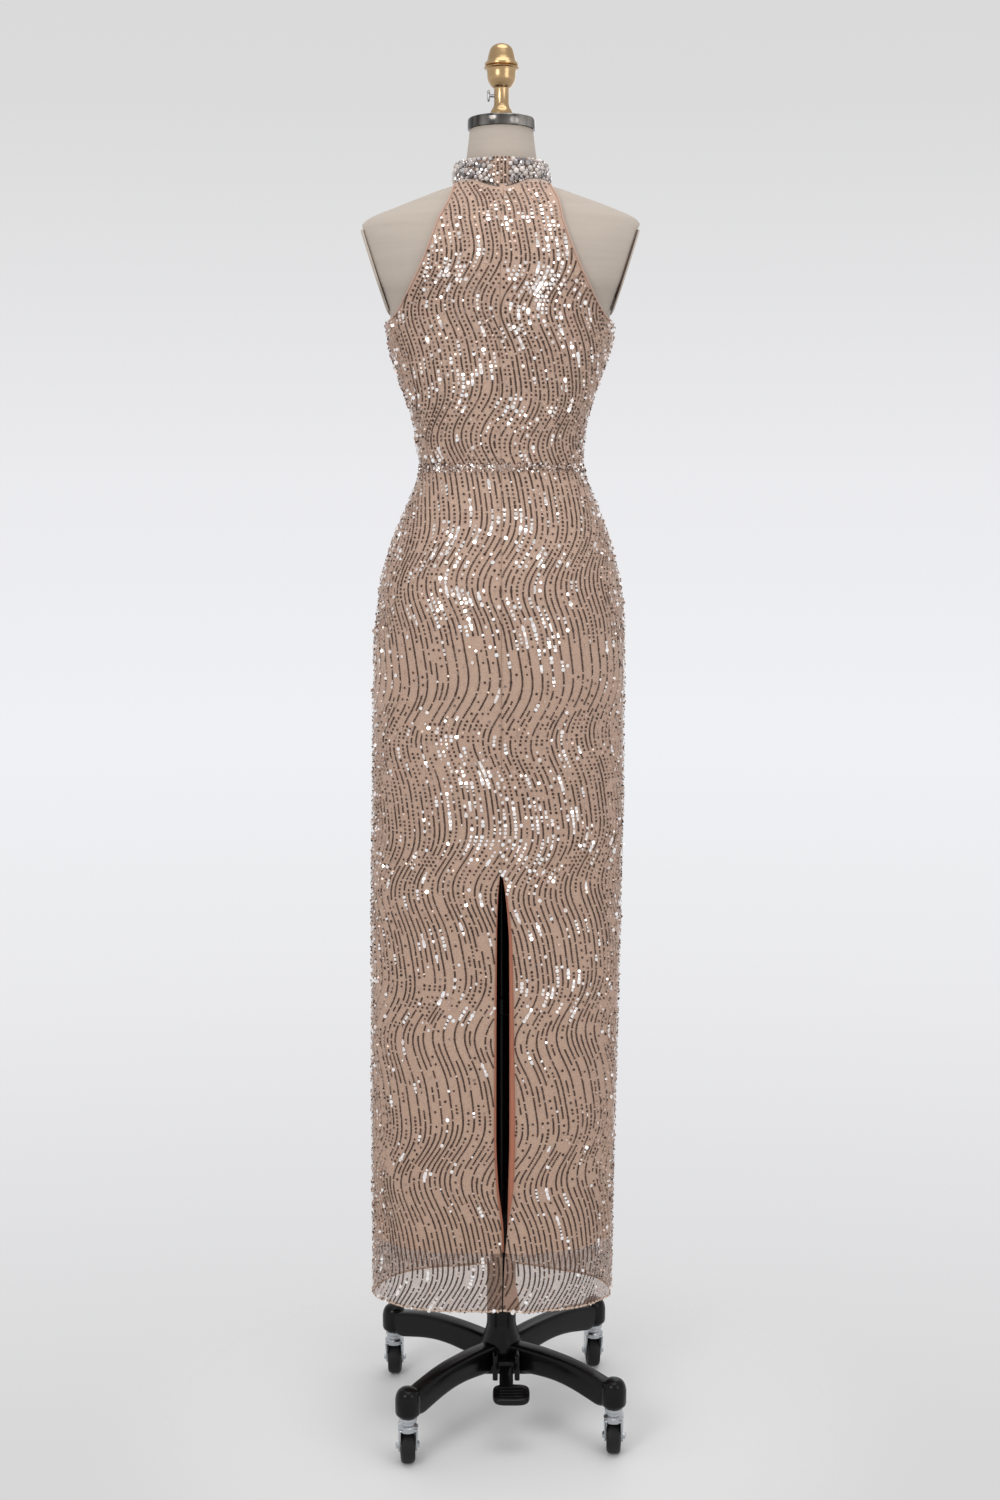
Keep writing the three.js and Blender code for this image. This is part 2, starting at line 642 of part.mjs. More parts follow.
// Post: a tube in the hub and the rod that slides and turns in it under the form
function post(group) {
  const tube = turnedRing(
    [
      [POST_BORE_RADIUS, HUB_FLOOR_Z + SEAM_GAP],
      [POST_RADIUS, HUB_FLOOR_Z + SEAM_GAP],
      [POST_RADIUS, POST_TOP_Z - 26],
      [POST_RADIUS + 4, POST_TOP_Z - 24],
      [POST_RADIUS + 4, POST_TOP_Z],
      [POST_BORE_RADIUS, POST_TOP_Z],
    ],
    20,
  );
  group.add(named("post_tube", tube, BLACK_ENAMEL));
  const rodTop = FORM_BOTTOM_Z - SEAM_GAP;
  const rod = turned(
    [
      [0, ROD_BOTTOM_Z],
      [ROD_RADIUS, ROD_BOTTOM_Z],
      [ROD_RADIUS, rodTop - 6],
      [40, rodTop - 5],
      [40, rodTop],
      [0, rodTop],
    ],
    20,
  );
  group.add(named("post_rod", rod, BLACK_ENAMEL));
}

const legAngle = (leg) => radians(leg + BASE_TURN);
const casterPlace = (leg) => [
  LEG_REACH * Math.cos(legAngle(leg)),
  LEG_REACH * Math.sin(legAngle(leg)),
];

// One cast leg, arched from the hub to its caster socket
function leg(angle) {
  const side = new THREE.Shape();
  side.moveTo(8, 116);
  side.quadraticCurveTo(118, 133, 202, 107);
  side.lineTo(202, SOCKET_BOTTOM_Z + 2);
  side.lineTo(186, SOCKET_BOTTOM_Z - 4);
  side.quadraticCurveTo(118, 93, 60, 82);
  side.lineTo(8, 75);
  const bar = new THREE.ExtrudeGeometry(side, {
    depth: LEG_WIDTH - 8,
    bevelSize: 0,
    bevelThickness: 4,
    bevelSegments: 1,
    bevelOffset: -4,
    curveSegments: 5,
  });
  bar.translate(0, 0, 4 - LEG_WIDTH / 2).rotateX(Math.PI / 2);
  return bar.rotateZ(angle);
}

// Base: hub, four legs with their sockets, a low web and the two cheeks that hold the pedal
function base(group) {
  const hub = turned(
    [
      [0, 78],
      [30, 78],
      [33, 92],
      [31, 112],
      [25, 126],
      [HUB_RADIUS, 142],
      [HUB_RADIUS, HUB_TOP_Z],
      [POST_RADIUS + SEAM_GAP, HUB_TOP_Z],
      [POST_RADIUS + SEAM_GAP, HUB_FLOOR_Z],
      [0, HUB_FLOOR_Z],
    ],
    18,
  );
  const pieces = [hub];
  for (const { leg: direction } of CASTERS) {
    pieces.push(leg(legAngle(direction)));
    const socket = turned(
      [
        [0, SOCKET_BOTTOM_Z],
        [14, SOCKET_BOTTOM_Z],
        [SOCKET_RADIUS, SOCKET_BOTTOM_Z + 6],
        [SOCKET_RADIUS, SOCKET_TOP_Z - 18],
        [SOCKET_RADIUS * 0.87, SOCKET_TOP_Z - 8],
        [SOCKET_RADIUS * 0.5, SOCKET_TOP_Z - 2],
        [0, SOCKET_TOP_Z],
      ],
      12,
    );
    pieces.push(socket.translate(...casterPlace(direction), 0));
  }
  pieces.push(new THREE.BoxGeometry(WEB.width, WEB.depth, WEB.height).translate(WEB.x, WEB.y, WEB.z));
  for (const side of [-1, 1]) {
    const cheek = new THREE.BoxGeometry(CHEEK.width, CHEEK.depth, CHEEK.height);
    const x = PEDAL_X + (side * CHEEK.apart) / 2;
    pieces.push(cheek.translate(x, PEDAL_PIVOT.y + 10, PEDAL_PIVOT.z - 2));
  }
  group.add(named("base", joined(pieces), BLACK_ENAMEL));
}

// Foot pedal: a barrel between the cheeks, a lever and a rounded pad
function pedal(group) {
  const { x, y, z, width, length, thickness, tilt } = PEDAL_PAD;
  const between = CHEEK.apart - CHEEK.width - 2 * SEAM_GAP;
  const barrel = new THREE.CylinderGeometry(8, 8, between, 16).rotateZ(Math.PI / 2);
  barrel.translate(PEDAL_X, PEDAL_PIVOT.y, PEDAL_PIVOT.z);
  const outline = new THREE.Shape();
  const [w, l, r] = [width / 2, length / 2, 12];
  outline.moveTo(-w + r, -l);
  outline.lineTo(w - r, -l);
  outline.quadraticCurveTo(w, -l, w, -l + r);
  outline.lineTo(w, l - r);
  outline.quadraticCurveTo(w, l, w - r, l);
  outline.lineTo(-w + r, l);
  outline.quadraticCurveTo(-w, l, -w, l - r);
  outline.lineTo(-w, -l + r);
  outline.quadraticCurveTo(-w, -l, -w + r, -l);
  const pad = new THREE.ExtrudeGeometry(outline, {
    depth: thickness - 4,
    bevelThickness: 2,
    bevelSize: 2,
    bevelSegments: 1,
    curveSegments: 4,
  });
  pad.translate(0, 0, -thickness / 2 + 2).rotateX(radians(tilt)).translate(x, y, z);
  const reach = PEDAL_PIVOT.y - y;
  const lever = new THREE.BoxGeometry(20, reach, 8);
  lever.rotateX(Math.atan2(PEDAL_PIVOT.z - z, reach));
  lever.translate(PEDAL_X, (PEDAL_PIVOT.y + y) / 2, (PEDAL_PIVOT.z + z) / 2);
  group.add(named("pedal", joined([barrel, lever, pad]), BLACK_ENAMEL));
}

// Casters: swivel head with its fork and axle bolt, and a wheel that turns on the bolt
function casters(group) {
  for (const { name, leg: direction, trail } of CASTERS) {
    const caster = new THREE.Group();
    const [x, y] = casterPlace(direction);
    caster.position.set(x, y, 0);
    caster.rotation.z = radians(trail);
    caster.add(named(`caster_head_${name}`, casterHead(), BRIGHT_STEEL));
    caster.add(named(`caster_wheel_${name}`, casterWheel(), BLACK_TYRE));
    group.add(caster);
  }
}

function casterHead() {
  const top = SOCKET_BOTTOM_Z - SEAM_GAP;
  const cup = turned(
    [
      [0, 54],
      [13, 54],
      [14.5, 61],
      [10, 64],
      [10, 67],
      [13, 69],
      [13, top],
      [0, top],
    ],
    12,
  );
  const inside = WHEEL_WIDTH / 2 + FORK.clear;
  const cheekOutline = new THREE.Shape();
  cheekOutline.moveTo(-13, 58);
  cheekOutline.lineTo(TRAIL - 7, AXLE_Z - 4);
  cheekOutline.lineTo(TRAIL - 4, AXLE_Z - 8);
  cheekOutline.lineTo(TRAIL + 4, AXLE_Z - 8);
  cheekOutline.lineTo(TRAIL + 8, AXLE_Z - 3);
  cheekOutline.lineTo(TRAIL + 6, 58);
  const pieces = [cup];
  for (const side of [-1, 1]) {
    const cheek = new THREE.ExtrudeGeometry(cheekOutline, { depth: FORK.wall, bevelEnabled: false });
    cheek.rotateX(Math.PI / 2);
    pieces.push(cheek.translate(0, side > 0 ? inside + FORK.wall : -inside, 0));
  }
  const crown = new THREE.BoxGeometry(31, 2 * (inside + FORK.wall), 3);
  pieces.push(crown.translate(4, 0, FORK.crownZ));
  const bolt = new THREE.CylinderGeometry(3, 3, 2 * inside + 12, 8);
  pieces.push(bolt.translate(TRAIL, 0, AXLE_Z));
  const nut = new THREE.CylinderGeometry(5, 5, 3, 6);
  pieces.push(nut.clone().translate(TRAIL, inside + 3.5, AXLE_Z));
  pieces.push(nut.translate(TRAIL, -inside - 3.5, AXLE_Z));
  return joined(pieces);
}

function casterWheel() {
  const half = WHEEL_WIDTH / 2;
  const ring = turnedRing(
    [
      [3.4, -half + 1],
      [17, -half + 2.5],
      [21.5, -half],
      [WHEEL_RADIUS, -half + 4],
      [WHEEL_RADIUS, half - 4],
      [21.5, half],
      [17, half - 2.5],
      [3.4, half - 1],
    ],
    WHEEL_SIDES,
  );
  ring.rotateZ(Math.PI / WHEEL_SIDES).rotateX(Math.PI / 2);
  return ring.translate(TRAIL, 0, AXLE_Z);
}

const gown = new THREE.Group();
collar(gown);
bodice(gown);
skirt(gown);
lining(gown);

const dressForm = new THREE.Group();
form(dressForm);
armPlates(dressForm);
neckTop(dressForm);

const stand = new THREE.Group();
post(stand);
base(stand);
pedal(stand);
casters(stand);

const whole = new THREE.Group();
whole.add(gown, dressForm, stand);

export default whole;
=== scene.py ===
"""An evening gown of sequinned net on its limbless dress form and rolling stand.

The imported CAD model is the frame. The gown's panels are thin shells on the same sections as their
solids, with sequins, beads, bindings and hems as joined meshes on them. Sizes are in millimetres
and turned to metres when a mesh is made. The centre back of the gown faces -Y, and a turn round
the gown starts there and goes towards +X.
"""

import math

import bpy
import numpy as np
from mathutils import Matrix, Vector


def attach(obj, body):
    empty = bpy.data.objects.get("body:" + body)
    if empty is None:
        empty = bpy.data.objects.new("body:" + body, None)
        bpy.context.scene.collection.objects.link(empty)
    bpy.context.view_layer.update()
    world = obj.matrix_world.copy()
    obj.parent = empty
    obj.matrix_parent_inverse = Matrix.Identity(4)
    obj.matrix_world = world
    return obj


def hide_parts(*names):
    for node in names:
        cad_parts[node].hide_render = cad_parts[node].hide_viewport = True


MM = 0.001

# Camera, worked out from the photograph's perspective
CAMERA_PLACE = (-2.0, -2695.0, 1345.0)
CAMERA_PITCH = 7.3
CAMERA_LENS = 45.6

# Cloth
WAIST_Z = 1397.7
HEM_Z = 189.0
HEM_DIP = 7.0
SLIT_TOP_Z = 842.0
LINING_TOP_Z = 1040.0
LINING_HEM_Z = 283.0
SEAM_HALF = 0.3
SHELL = 0.9
FORM_CLEARANCE = 1.6
FORM_INSET = 3.0
SKIRT_LIFT = 1.5
LINING_LIFT = -1.7
BODICE_LIFT = FORM_CLEARANCE + 1.4
NECK_SEQUINS_RADIUS = 66.0

# Collar
COLLAR_TOP_Z = 1812.0
COLLAR_TOP_RADIUS = 58.5
COLLAR_BASE_RADIUS = 62.2
COLLAR_WALL = 2.0
COLLAR_LIFT = 1.6
COLLAR_SEAM = 0.7
COLLAR_GAP_HALF = 1.2
BEADLESS_HALF = 11.0

# Dress form
NECK_TOP_Z = 1857.0
FORM_BOTTOM_Z = 1075.0
PLATE_LOW = (1602.0, 149.5)
PLATE_HIGH = (1711.0, 184.5)
PLATE_FOOT_X = 151.4
PLATE_MIDDLE_Z = 1667.0
PLATE_HALF = 54.0
PLATE_SHIFT = 1.75
CAP_TOP_Z = 1872.5
STEM_RADIUS = 10.2
FINIAL_JOINT_Z = 1940.5
FINIAL_TOP_Z = 1972.0
SCREW_Z = 1903.0

# Stand
LEG_REACH = 207.0
BASE_TURN = 5.5
WHEEL_RADIUS = 25.0
AXLE_Z = 24.8
TRAIL = 14.0
CASTERS = {"1": (225, 96), "2": (315, 84), "3": (40, 94), "4": (138, 89)}

# Half widths and depths of the form from the neck down: height, middle, half width, back, front
FORM_SECTIONS = [
    (1857, 0, 46.5, 46.5, 46.5), (1836, 0, 49, 49, 49), (1812, 0, 52.5, 53, 52.5),
    (1796, 0, 55.5, 56, 54), (1787, 0, 59, 58.5, 56.5), (1778, 1, 89, 61.5, 60),
    (1771, 1.5, 109, 64.5, 63.5), (1757, 3, 147, 71, 70), (1738, 0.8, 189.5, 80, 78),
    (1724, -1.5, 198.5, 86, 84.5), (1706, -1.5, 201, 93, 91), (1680, -1.5, 199, 99, 106),
    (1650, -1.5, 190, 101, 124), (1625, -2, 165.5, 99.5, 132.5), (1608, -2, 157.6, 98.3, 133),
    (1590, -2, 154.6, 97, 132), (1565, -2.5, 150.5, 95, 126), (1520, -3, 136, 92, 112),
    (1465, -2, 118, 87, 99), (1430, -1.5, 112.5, 84, 94), (1397, 0.5, 110.5, 83, 92),
    (1354, 1, 124, 91, 97), (1298, -0.5, 147, 106, 102), (1242, -1.5, 164, 118, 105),
    (1200, -1, 170, 121, 106), (1129, -2, 173, 117, 106), (1095, -2, 169, 112, 104),
    (1080, -2, 163, 107, 99), (1075, -2, 154, 100, 92),
]

# The inside of the skirt, in the same columns
SKIRT_SECTIONS = [
    (1400, 0.5, 112, 84.3, 93.4), (1382, 1, 116.4, 86.6, 95.2), (1354, 1, 128.2, 92.8, 98.8),
    (1326, 0.5, 139.4, 100.5, 101.6), (1298, -0.5, 150.6, 107.8, 103.8),
    (1270, -1, 159, 114.6, 105.6), (1242, -1.5, 166, 119.9, 107), (1200, -1.5, 171.6, 122.8, 108),
    (1157, -3, 174.6, 121.5, 108.6), (1100, -3.5, 176.2, 117.6, 108),
    (1043, -4.5, 176.4, 113, 106.5), (985, -4.5, 176.6, 108, 104), (905, -5.5, 177.2, 102, 100),
    (834, -7, 177.4, 98.5, 97.5), (752, -8, 177.4, 95.5, 95), (633, -9.5, 176.6, 93, 92),
    (513, -11.5, 176, 91, 90), (392, -12.5, 175, 89.5, 88.5), (300, -13, 174.4, 88.5, 87.5),
    (180, -14, 174, 88, 87),
]

# Height and half width between the armholes
ARMHOLE = [
    (1790, 58), (1783, 61), (1744, 77), (1723, 84.5), (1707, 90), (1665, 107), (1633, 124.5),
    (1609, 138.5), (1601, 146), (1594, 160), (1390, 200),
]

# Height, then where the skirt and the lining end on the left and right of the slit
SLIT = [
    (842, -0.9, -0.9, -0.6, -0.6), (826, -3.4, -2.6, 2.8, 3.8), (800, -5.8, -4.4, 6.2, 8.6),
    (766, -7.2, -5.6, 9.2, 12.8), (740, -8, -6, 10.6, 15), (620, -9.6, -6.4, 11.4, 18),
    (455, -10.6, -6.6, 11.2, 20), (385, -7.6, -3.6, 9.8, 18), (315, 0.6, 3.8, 8.4, 9),
    (260, 2.2, 5, 7.4, 4.6), (180, 0.6, 5, 7.4, 2.2),
]
SLIT_COLUMNS = {"skirt_left": 1, "lining_left": 2, "lining_right": 3, "skirt_right": 4}

# Soft folds that hang down the skirt: turn, half breadth, depth, where each starts and is full
FOLDS = [
    (6, 6, -6, 830, 560), (14, 7, 3, 800, 420), (41, 13, 3.4, 900, 300), (66, 9, -2.6, 700, 260),
    (118, 15, 4.2, 960, 330), (146, 11, -3.6, 820, 260), (171, 13, 4.6, 900, 280),
    (197, 10, -3, 760, 300), (226, 16, 4, 980, 340), (296, 10, -2.4, 680, 300),
    (322, 14, 3.6, 940, 320), (352, 7, -2.6, 820, 520),
]

# Creases, listed one by one: turn, height, half breadth, half length, depth, lean in degrees a
# metre
CREASES = [
    (24, 1330, 5, 42, -1.0, 60), (336, 1326, 5, 46, -1.1, -55), (48, 1290, 6, 50, 0.8, 80),
    (312, 1285, 6, 48, 0.9, -80), (12, 1120, 6, 110, 0.9, 12), (349, 1090, 6, 120, -0.9, -10),
    (60, 1010, 7, 140, -1.0, 16), (303, 980, 7, 150, 0.9, -14), (30, 760, 6, 160, -1.1, 8),
    (333, 720, 6, 150, 1.0, -8), (78, 560, 7, 130, 1.1, 10), (284, 540, 7, 140, -1.1, -12),
    (52, 330, 6, 90, -1.2, 14), (310, 320, 6, 95, 1.2, -14), (20, 270, 5, 60, 1.0, 6),
    (342, 262, 5, 58, -1.0, -8), (104, 1300, 6, 60, -1.0, 70), (256, 1296, 6, 58, -1.0, -70),
    (128, 1080, 8, 150, 1.0, 10), (238, 1060, 8, 150, -0.9, -10), (160, 1330, 6, 44, -0.9, 40),
    (205, 1328, 6, 44, 0.8, -40), (180, 1000, 7, 170, -0.9, 5), (150, 640, 8, 150, 1.1, 8),
    (214, 600, 8, 140, -1.0, -8), (136, 330, 7, 90, -1.2, 10), (188, 300, 7, 80, 1.1, 5),
    (240, 310, 7, 90, 1.2, -10),
]

# Painted glint patches, where light-coloured sequins are crowded to stand in for glints: turn,
# height, reach, share of the sequins there
PAINTED_GLINT_PATCHES = [
    (20, 1712, 40, 0.50), (331, 1672, 36, 0.42), (21, 1624, 55, 0.62), (329, 1528, 40, 0.46),
    (9, 1474, 32, 0.46), (333, 1310, 42, 0.40), (16, 1296, 50, 0.46), (337, 1215, 46, 0.36),
    (18, 1172, 55, 0.46), (332, 1022, 36, 0.45), (350, 982, 30, 0.36), (27, 1022, 30, 0.30),
    (333, 940, 36, 0.40), (18, 898, 60, 0.46), (2, 955, 34, 0.40), (10, 862, 52, 0.50),
    (332, 720, 30, 0.30), (25, 664, 38, 0.40), (342, 650, 24, 0.30), (90, 1560, 40, 0.40),
    (270, 1450, 40, 0.40), (88, 1200, 52, 0.38), (272, 1110, 60, 0.36), (95, 850, 60, 0.32),
    (265, 700, 50, 0.30), (90, 480, 40, 0.26), (140, 1650, 50, 0.42), (215, 1600, 46, 0.46),
    (175, 1500, 42, 0.42), (150, 1300, 50, 0.40), (200, 1180, 56, 0.42), (160, 1000, 52, 0.36),
    (215, 900, 60, 0.40), (170, 760, 50, 0.36), (140, 620, 42, 0.30), (210, 560, 42, 0.30),
]

# Sequin embroidery: the rows' spacing, the waves that they follow and each sequin's size
ROW_SPACING = {"bodice": 6.3, "skirt": 7.4}
WAVE_REACH = {"bodice": 13.5, "skirt": 15.0}
WAVE_LENGTH = {"bodice": 178.0, "skirt": 213.0}
LINE_PITCH = 2.7
LINE_SEQUIN = (3.3, 3.1)
DISC_SEQUIN = 3.8
# The light sequins that stand in for glints (painted glints) are drawn larger
BRIGHT_SEQUIN = 4.6

# How closely the rows are worked, from the top down: height, then the shares of the even and of
# the odd rows that run as lines, and the share of dots in what is left
STITCHING = [
    (1800, 0.96, 0.12, 0.94), (1396, 0.96, 0.14, 0.94), (1380, 0.96, 0.46, 0.90),
    (1174, 0.95, 0.52, 0.86), (1150, 0.98, 0.05, 0.14), (1064, 0.98, 0.05, 0.12),
    (1046, 0.34, 0.28, 0.82), (962, 0.36, 0.30, 0.86), (944, 0.84, 0.58, 0.86),
    (812, 0.62, 0.46, 0.86), (794, 0.94, 0.62, 0.46), (704, 0.96, 0.70, 0.36),
    (688, 0.76, 0.26, 0.60), (640, 0.72, 0.20, 0.52), (600, 0.96, 0.55, 0.22),
    (506, 0.97, 0.32, 0.16), (482, 0.80, 0.30, 0.62), (400, 0.90, 0.50, 0.42),
    (330, 0.97, 0.88, 0.12), (180, 0.98, 0.95, 0.10),
]

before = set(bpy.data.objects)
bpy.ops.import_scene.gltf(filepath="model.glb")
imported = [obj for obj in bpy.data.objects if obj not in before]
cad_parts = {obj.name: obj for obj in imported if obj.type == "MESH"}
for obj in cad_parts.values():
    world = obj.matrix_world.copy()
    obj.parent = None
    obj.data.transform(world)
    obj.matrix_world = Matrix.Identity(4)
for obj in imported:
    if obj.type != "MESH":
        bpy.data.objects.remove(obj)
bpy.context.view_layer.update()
chance = np.random.default_rng(11)


# ---------------------------------------------------------------- shapes of the cloth and the form


def along(rows, column, z):
    """A column of a section table at any height: a smooth curve that never passes its rows."""
    table = np.array(rows, float)[::-1]
    heights, values = table[:, 0], table[:, column]
    secants = np.diff(values) / np.diff(heights)
    before, after = secants[:-1], secants[1:]
    same_way = before * after > 0
    total = np.where(same_way, before + after, 1.0)
    inner = np.where(same_way, 2 * before * after / total, 0.0)
    slopes = np.concatenate([secants[:1], inner, secants[-1:]])
    z = np.asarray(z, float)
    k = np.clip(np.searchsorted(heights, z, side="right") - 1, 0, len(heights) - 2)
    span = heights[k + 1] - heights[k]
    t = np.clip((z - heights[k]) / span, 0, 1)
    rise = t * t * (3 - 2 * t)
    start = t * (1 - t) ** 2 * span * slopes[k]
    end = t * t * (1 - t) * span * slopes[k + 1]
    return values[k] * (1 - rise) + values[k + 1] * rise + start - end


def apart(turn, degrees):
    """How many degrees a turn lies from a given one, to either side."""
    return (np.degrees(turn) - degrees + 180) % 360 - 180


def smooth_step(value, low, high):
    t = np.clip((value - low) / (high - low), 0, 1)
    return t * t * (3 - 2 * t)


def drape(turn, z):
    """How far the hanging cloth stands out or in, from its folds and creases."""
    push = np.zeros(np.broadcast(turn, z).shape)
    for at, breadth, depth, top, full in FOLDS:
        reach = 1 - smooth_step(z, full, top)
        push += depth * reach * np.exp(-((apart(turn, at) / breadth) ** 2))
    return push


def creases(turn, z):
    push = np.zeros(np.broadcast(turn, z).shape)
    for at, height, breadth, length, depth, lean in CREASES:
        rise = z - height
        across = apart(turn, at) - lean * rise * MM
        push += depth * np.exp(-((across / breadth) ** 2) - (rise / length) ** 2)
    return push


def oval(rows, turn, z, push=0.0):
    """Points of an oval section, pushed out or in where cloth is draped on it."""
    half = along(rows, 2, z) + push
    back, front = along(rows, 3, z), along(rows, 4, z)
    depth = np.where(np.cos(turn) >= 0, back, front) + push
    x = along(rows, 1, z) + half * np.sin(turn)
    return np.stack([x, -depth * np.cos(turn), z + 0 * turn], axis=-1)


def form_surface(turn, z):
    return oval(FORM_SECTIONS, turn, z)


def skirt_surface(turn, z):
    return oval(SKIRT_SECTIONS, turn, z, drape(turn, z) + creases(turn, z))


def lining_surface(turn, z):
    return oval(SKIRT_SECTIONS, turn, z, drape(turn, z))


def unit(vectors):
    return vectors / np.maximum(np.linalg.norm(vectors, axis=-1, keepdims=True), 1e-9)


def frames_on(surface, turn, z):
    """Directions across, up and out of a surface at many points."""
    across = unit(surface(turn + 0.01, z) - surface(turn - 0.01, z))
    up = surface(turn, z + 0.5) - surface(turn, z - 0.5)
    out = unit(np.cross(across, up))
    return across, np.cross(out, across), out


def moved_out(surface, turn, z, distance):
    out = frames_on(surface, turn, z)[2]
    return surface(turn, z) + out * np.asarray(distance)[..., None]


def neckline(turn, radius):
    """The height at which the form's surface reaches a radius round the neck."""
    high, low = np.full(np.shape(turn), 1800.0), np.full(np.shape(turn), 1740.0)
    for _ in range(22):
        z = (high + low) / 2
        points = form_surface(turn, z)
        inside = np.hypot(points[..., 0], points[..., 1]) < radius
        high, low = np.where(inside, z, high), np.where(inside, low, z)
    return (high + low) / 2


def side_seam(rows, z):
    return np.pi / 2 - SEAM_HALF / along(rows, 3, z)


def slit_edge(name, z):
    """The turn of one edge of the slit; above it the panels meet at the centre seam."""
    gap = -SEAM_HALF if "left" in name else SEAM_HALF
    x = np.where(z > SLIT_TOP_Z, 0.0, along(SLIT, SLIT_COLUMNS[name], z)) + gap
    share = (x - along(SKIRT_SECTIONS, 1, z)) / along(SKIRT_SECTIONS, 2, z)
    return np.arcsin(share)


def armhole_edge(z):
    share = along(ARMHOLE, 1, z) / along(FORM_SECTIONS, 2, z)
    return np.minimum(np.arcsin(np.minimum(share, 1)), side_seam(FORM_SECTIONS, z))


def centre_edge(z):
    return SEAM_HALF / along(FORM_SECTIONS, 2, z)


def hem_height(turn):
    return HEM_Z + HEM_DIP * np.abs(np.cos(turn))


def three_panels(kind, right, side, left):
    """Three panels round the gown from the back right one on: each one's two edges, as turns."""
    return {
        kind + "_back_right": (right, side),
        kind + "_front": (lambda z: np.pi - side(z), lambda z: np.pi + side(z)),
        kind + "_back_left": (lambda z: FULL - side(z), lambda z: FULL + left(z)),
    }


def slit_panels(kind):
    right, left = (lambda z, name=kind + word: slit_edge(name, z) for word in ("_right", "_left"))
    return three_panels(kind, right, lambda z: side_seam(SKIRT_SECTIONS, z), left)


FULL = 2 * np.pi
SKIRT_PANELS = slit_panels("skirt")
LINING_PANELS = slit_panels("lining")
BODICE_PANELS = three_panels("bodice", centre_edge, armhole_edge, lambda z: -centre_edge(z))


def panel_places(edges, top, bottom, rows, columns):
    """Turns and heights of a grid that fills a panel between its two edges, from the top down."""
    down = np.linspace(0, 1, rows)[:, None]
    share = np.linspace(0, 1, columns)[None, :]
    left, right = edges
    turn = np.zeros((rows, columns))
    z = top(turn) + (bottom(turn) - top(turn)) * down
    for _ in range(5):
        turn = left(z) + (right(z) - left(z)) * share
        z = top(turn) + (bottom(turn) - top(turn)) * down
    return turn, z


def grid_faces(rows, columns, closed=False):
    """Quads of a grid, facing out when its rows run down and its columns to the right."""
    i = np.arange(rows - 1)[:, None]
    j = np.arange(columns if closed else columns - 1)[None, :]
    right = (j + 1) % columns
    corners = [i * columns + j, (i + 1) * columns + j, (i + 1) * columns + right]
    corners.append(i * columns + right)
    return np.stack([c + 0 * (i + j) for c in corners], axis=-1).reshape(-1, 4)


# ---------------------------------------------------------------- meshes


def shown(name, points, faces, finishes, body, slot, picks=None, smooth=40):
    """A piece of the object from points in millimetres, riding on its body.

    finishes is one material or several, and picks says which of them each face takes.
    """
    mesh = bpy.data.meshes.new(name)
    faces = faces.tolist() if isinstance(faces, np.ndarray) else faces
    mesh.from_pydata((np.asarray(points, float).reshape(-1, 3) * MM).tolist(), [], faces)
    for finish in finishes if isinstance(finishes, tuple) else (finishes,):
        mesh.materials.append(finish)
    if picks is not None:
        mesh.polygons.foreach_set("material_index", np.asarray(picks, np.int32))
    if smooth:
        mesh.shade_smooth()
        mesh.set_sharp_from_angle(angle=math.radians(smooth))
    mesh.update()
    made = bpy.data.objects.new(name, mesh)
    bpy.context.scene.collection.objects.link(made)
    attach(made, body)
    return made


def thickened(made, thickness):
    wall = made.modifiers.new("cloth thickness", "SOLIDIFY")
    wall.thickness = thickness * MM
    wall.offset = -1
    return made


def in_a_ring(outline, sides):
    """Points and faces of a piece turned on a lathe, from (radius, height) pairs, the top first."""
    turn = np.linspace(0, FULL, sides, endpoint=False)
    outline = np.array(outline, float)
    radius, z = outline[:, :1], outline[:, 1:]
    x, y = radius * np.sin(turn), -radius * np.cos(turn)
    points = np.stack([x, y, z + 0 * turn], axis=-1).reshape(-1, 3)
    return points, grid_faces(len(outline), sides, closed=True).tolist()


def both_ends(outline):
    """The outline of a piece with two like ends, from its upper half."""
    return outline + [(radius, -z) for radius, z in outline[::-1]]


def from_height(base, outline):
    """An outline whose heights are given from a base height."""
    return [(radius, base + rise) for radius, rise in outline]


def rotated(points, angle, a, b):
    """Points turned from axis a towards axis b."""
    made = np.array(points, float)
    c, s = math.cos(angle), math.sin(angle)
    made[:, a] = points[:, a] * c - points[:, b] * s
    made[:, b] = points[:, a] * s + points[:, b] * c
    return made


def squared(turn, power):
    """Directions round a softly squared section."""
    ways = np.stack([np.cos(turn), np.sin(turn)])
    return np.sign(ways) * np.abs(ways) ** power


def merged(parts):
    """Several (points, faces) pairs as one."""
    points, faces, count = [], [], 0
    for some_points, some_faces in parts:
        points.append(np.asarray(some_points, float).reshape(-1, 3))
        faces += [[count + int(v) for v in face] for face in some_faces]
        count += len(points[-1])
    return np.concatenate(points), faces


def rings_body(rings):
    """A closed body through rings of points, with flat ends."""
    rings = np.asarray(rings, float)
    count, sides = rings.shape[:2]
    faces = grid_faces(count, sides, closed=True).tolist()
    faces.append(list(range(sides)))
    faces.append(list(range((count - 1) * sides, count * sides))[::-1])
    return rings.reshape(-1, 3), faces


def tube(line, radius, sides=8, flatten=1.0, up=None):
    """A cord or binding of round or flattened section along a line of points."""
    line = np.asarray(line, float)
    ahead = unit(np.gradient(line, axis=0))
    first = np.array([0, 0, 1.0]) if up is None else up
    side = unit(np.cross(ahead, first))
    top = np.cross(side, ahead)
    turn = np.linspace(0, FULL, sides, endpoint=False)[None, :, None]
    radius = np.broadcast_to(np.asarray(radius, float), (len(line),))[:, None, None]
    ring = side[:, None] * np.cos(turn) + top[:, None] * np.sin(turn) * flatten
    return rings_body(line[:, None] + ring * radius)


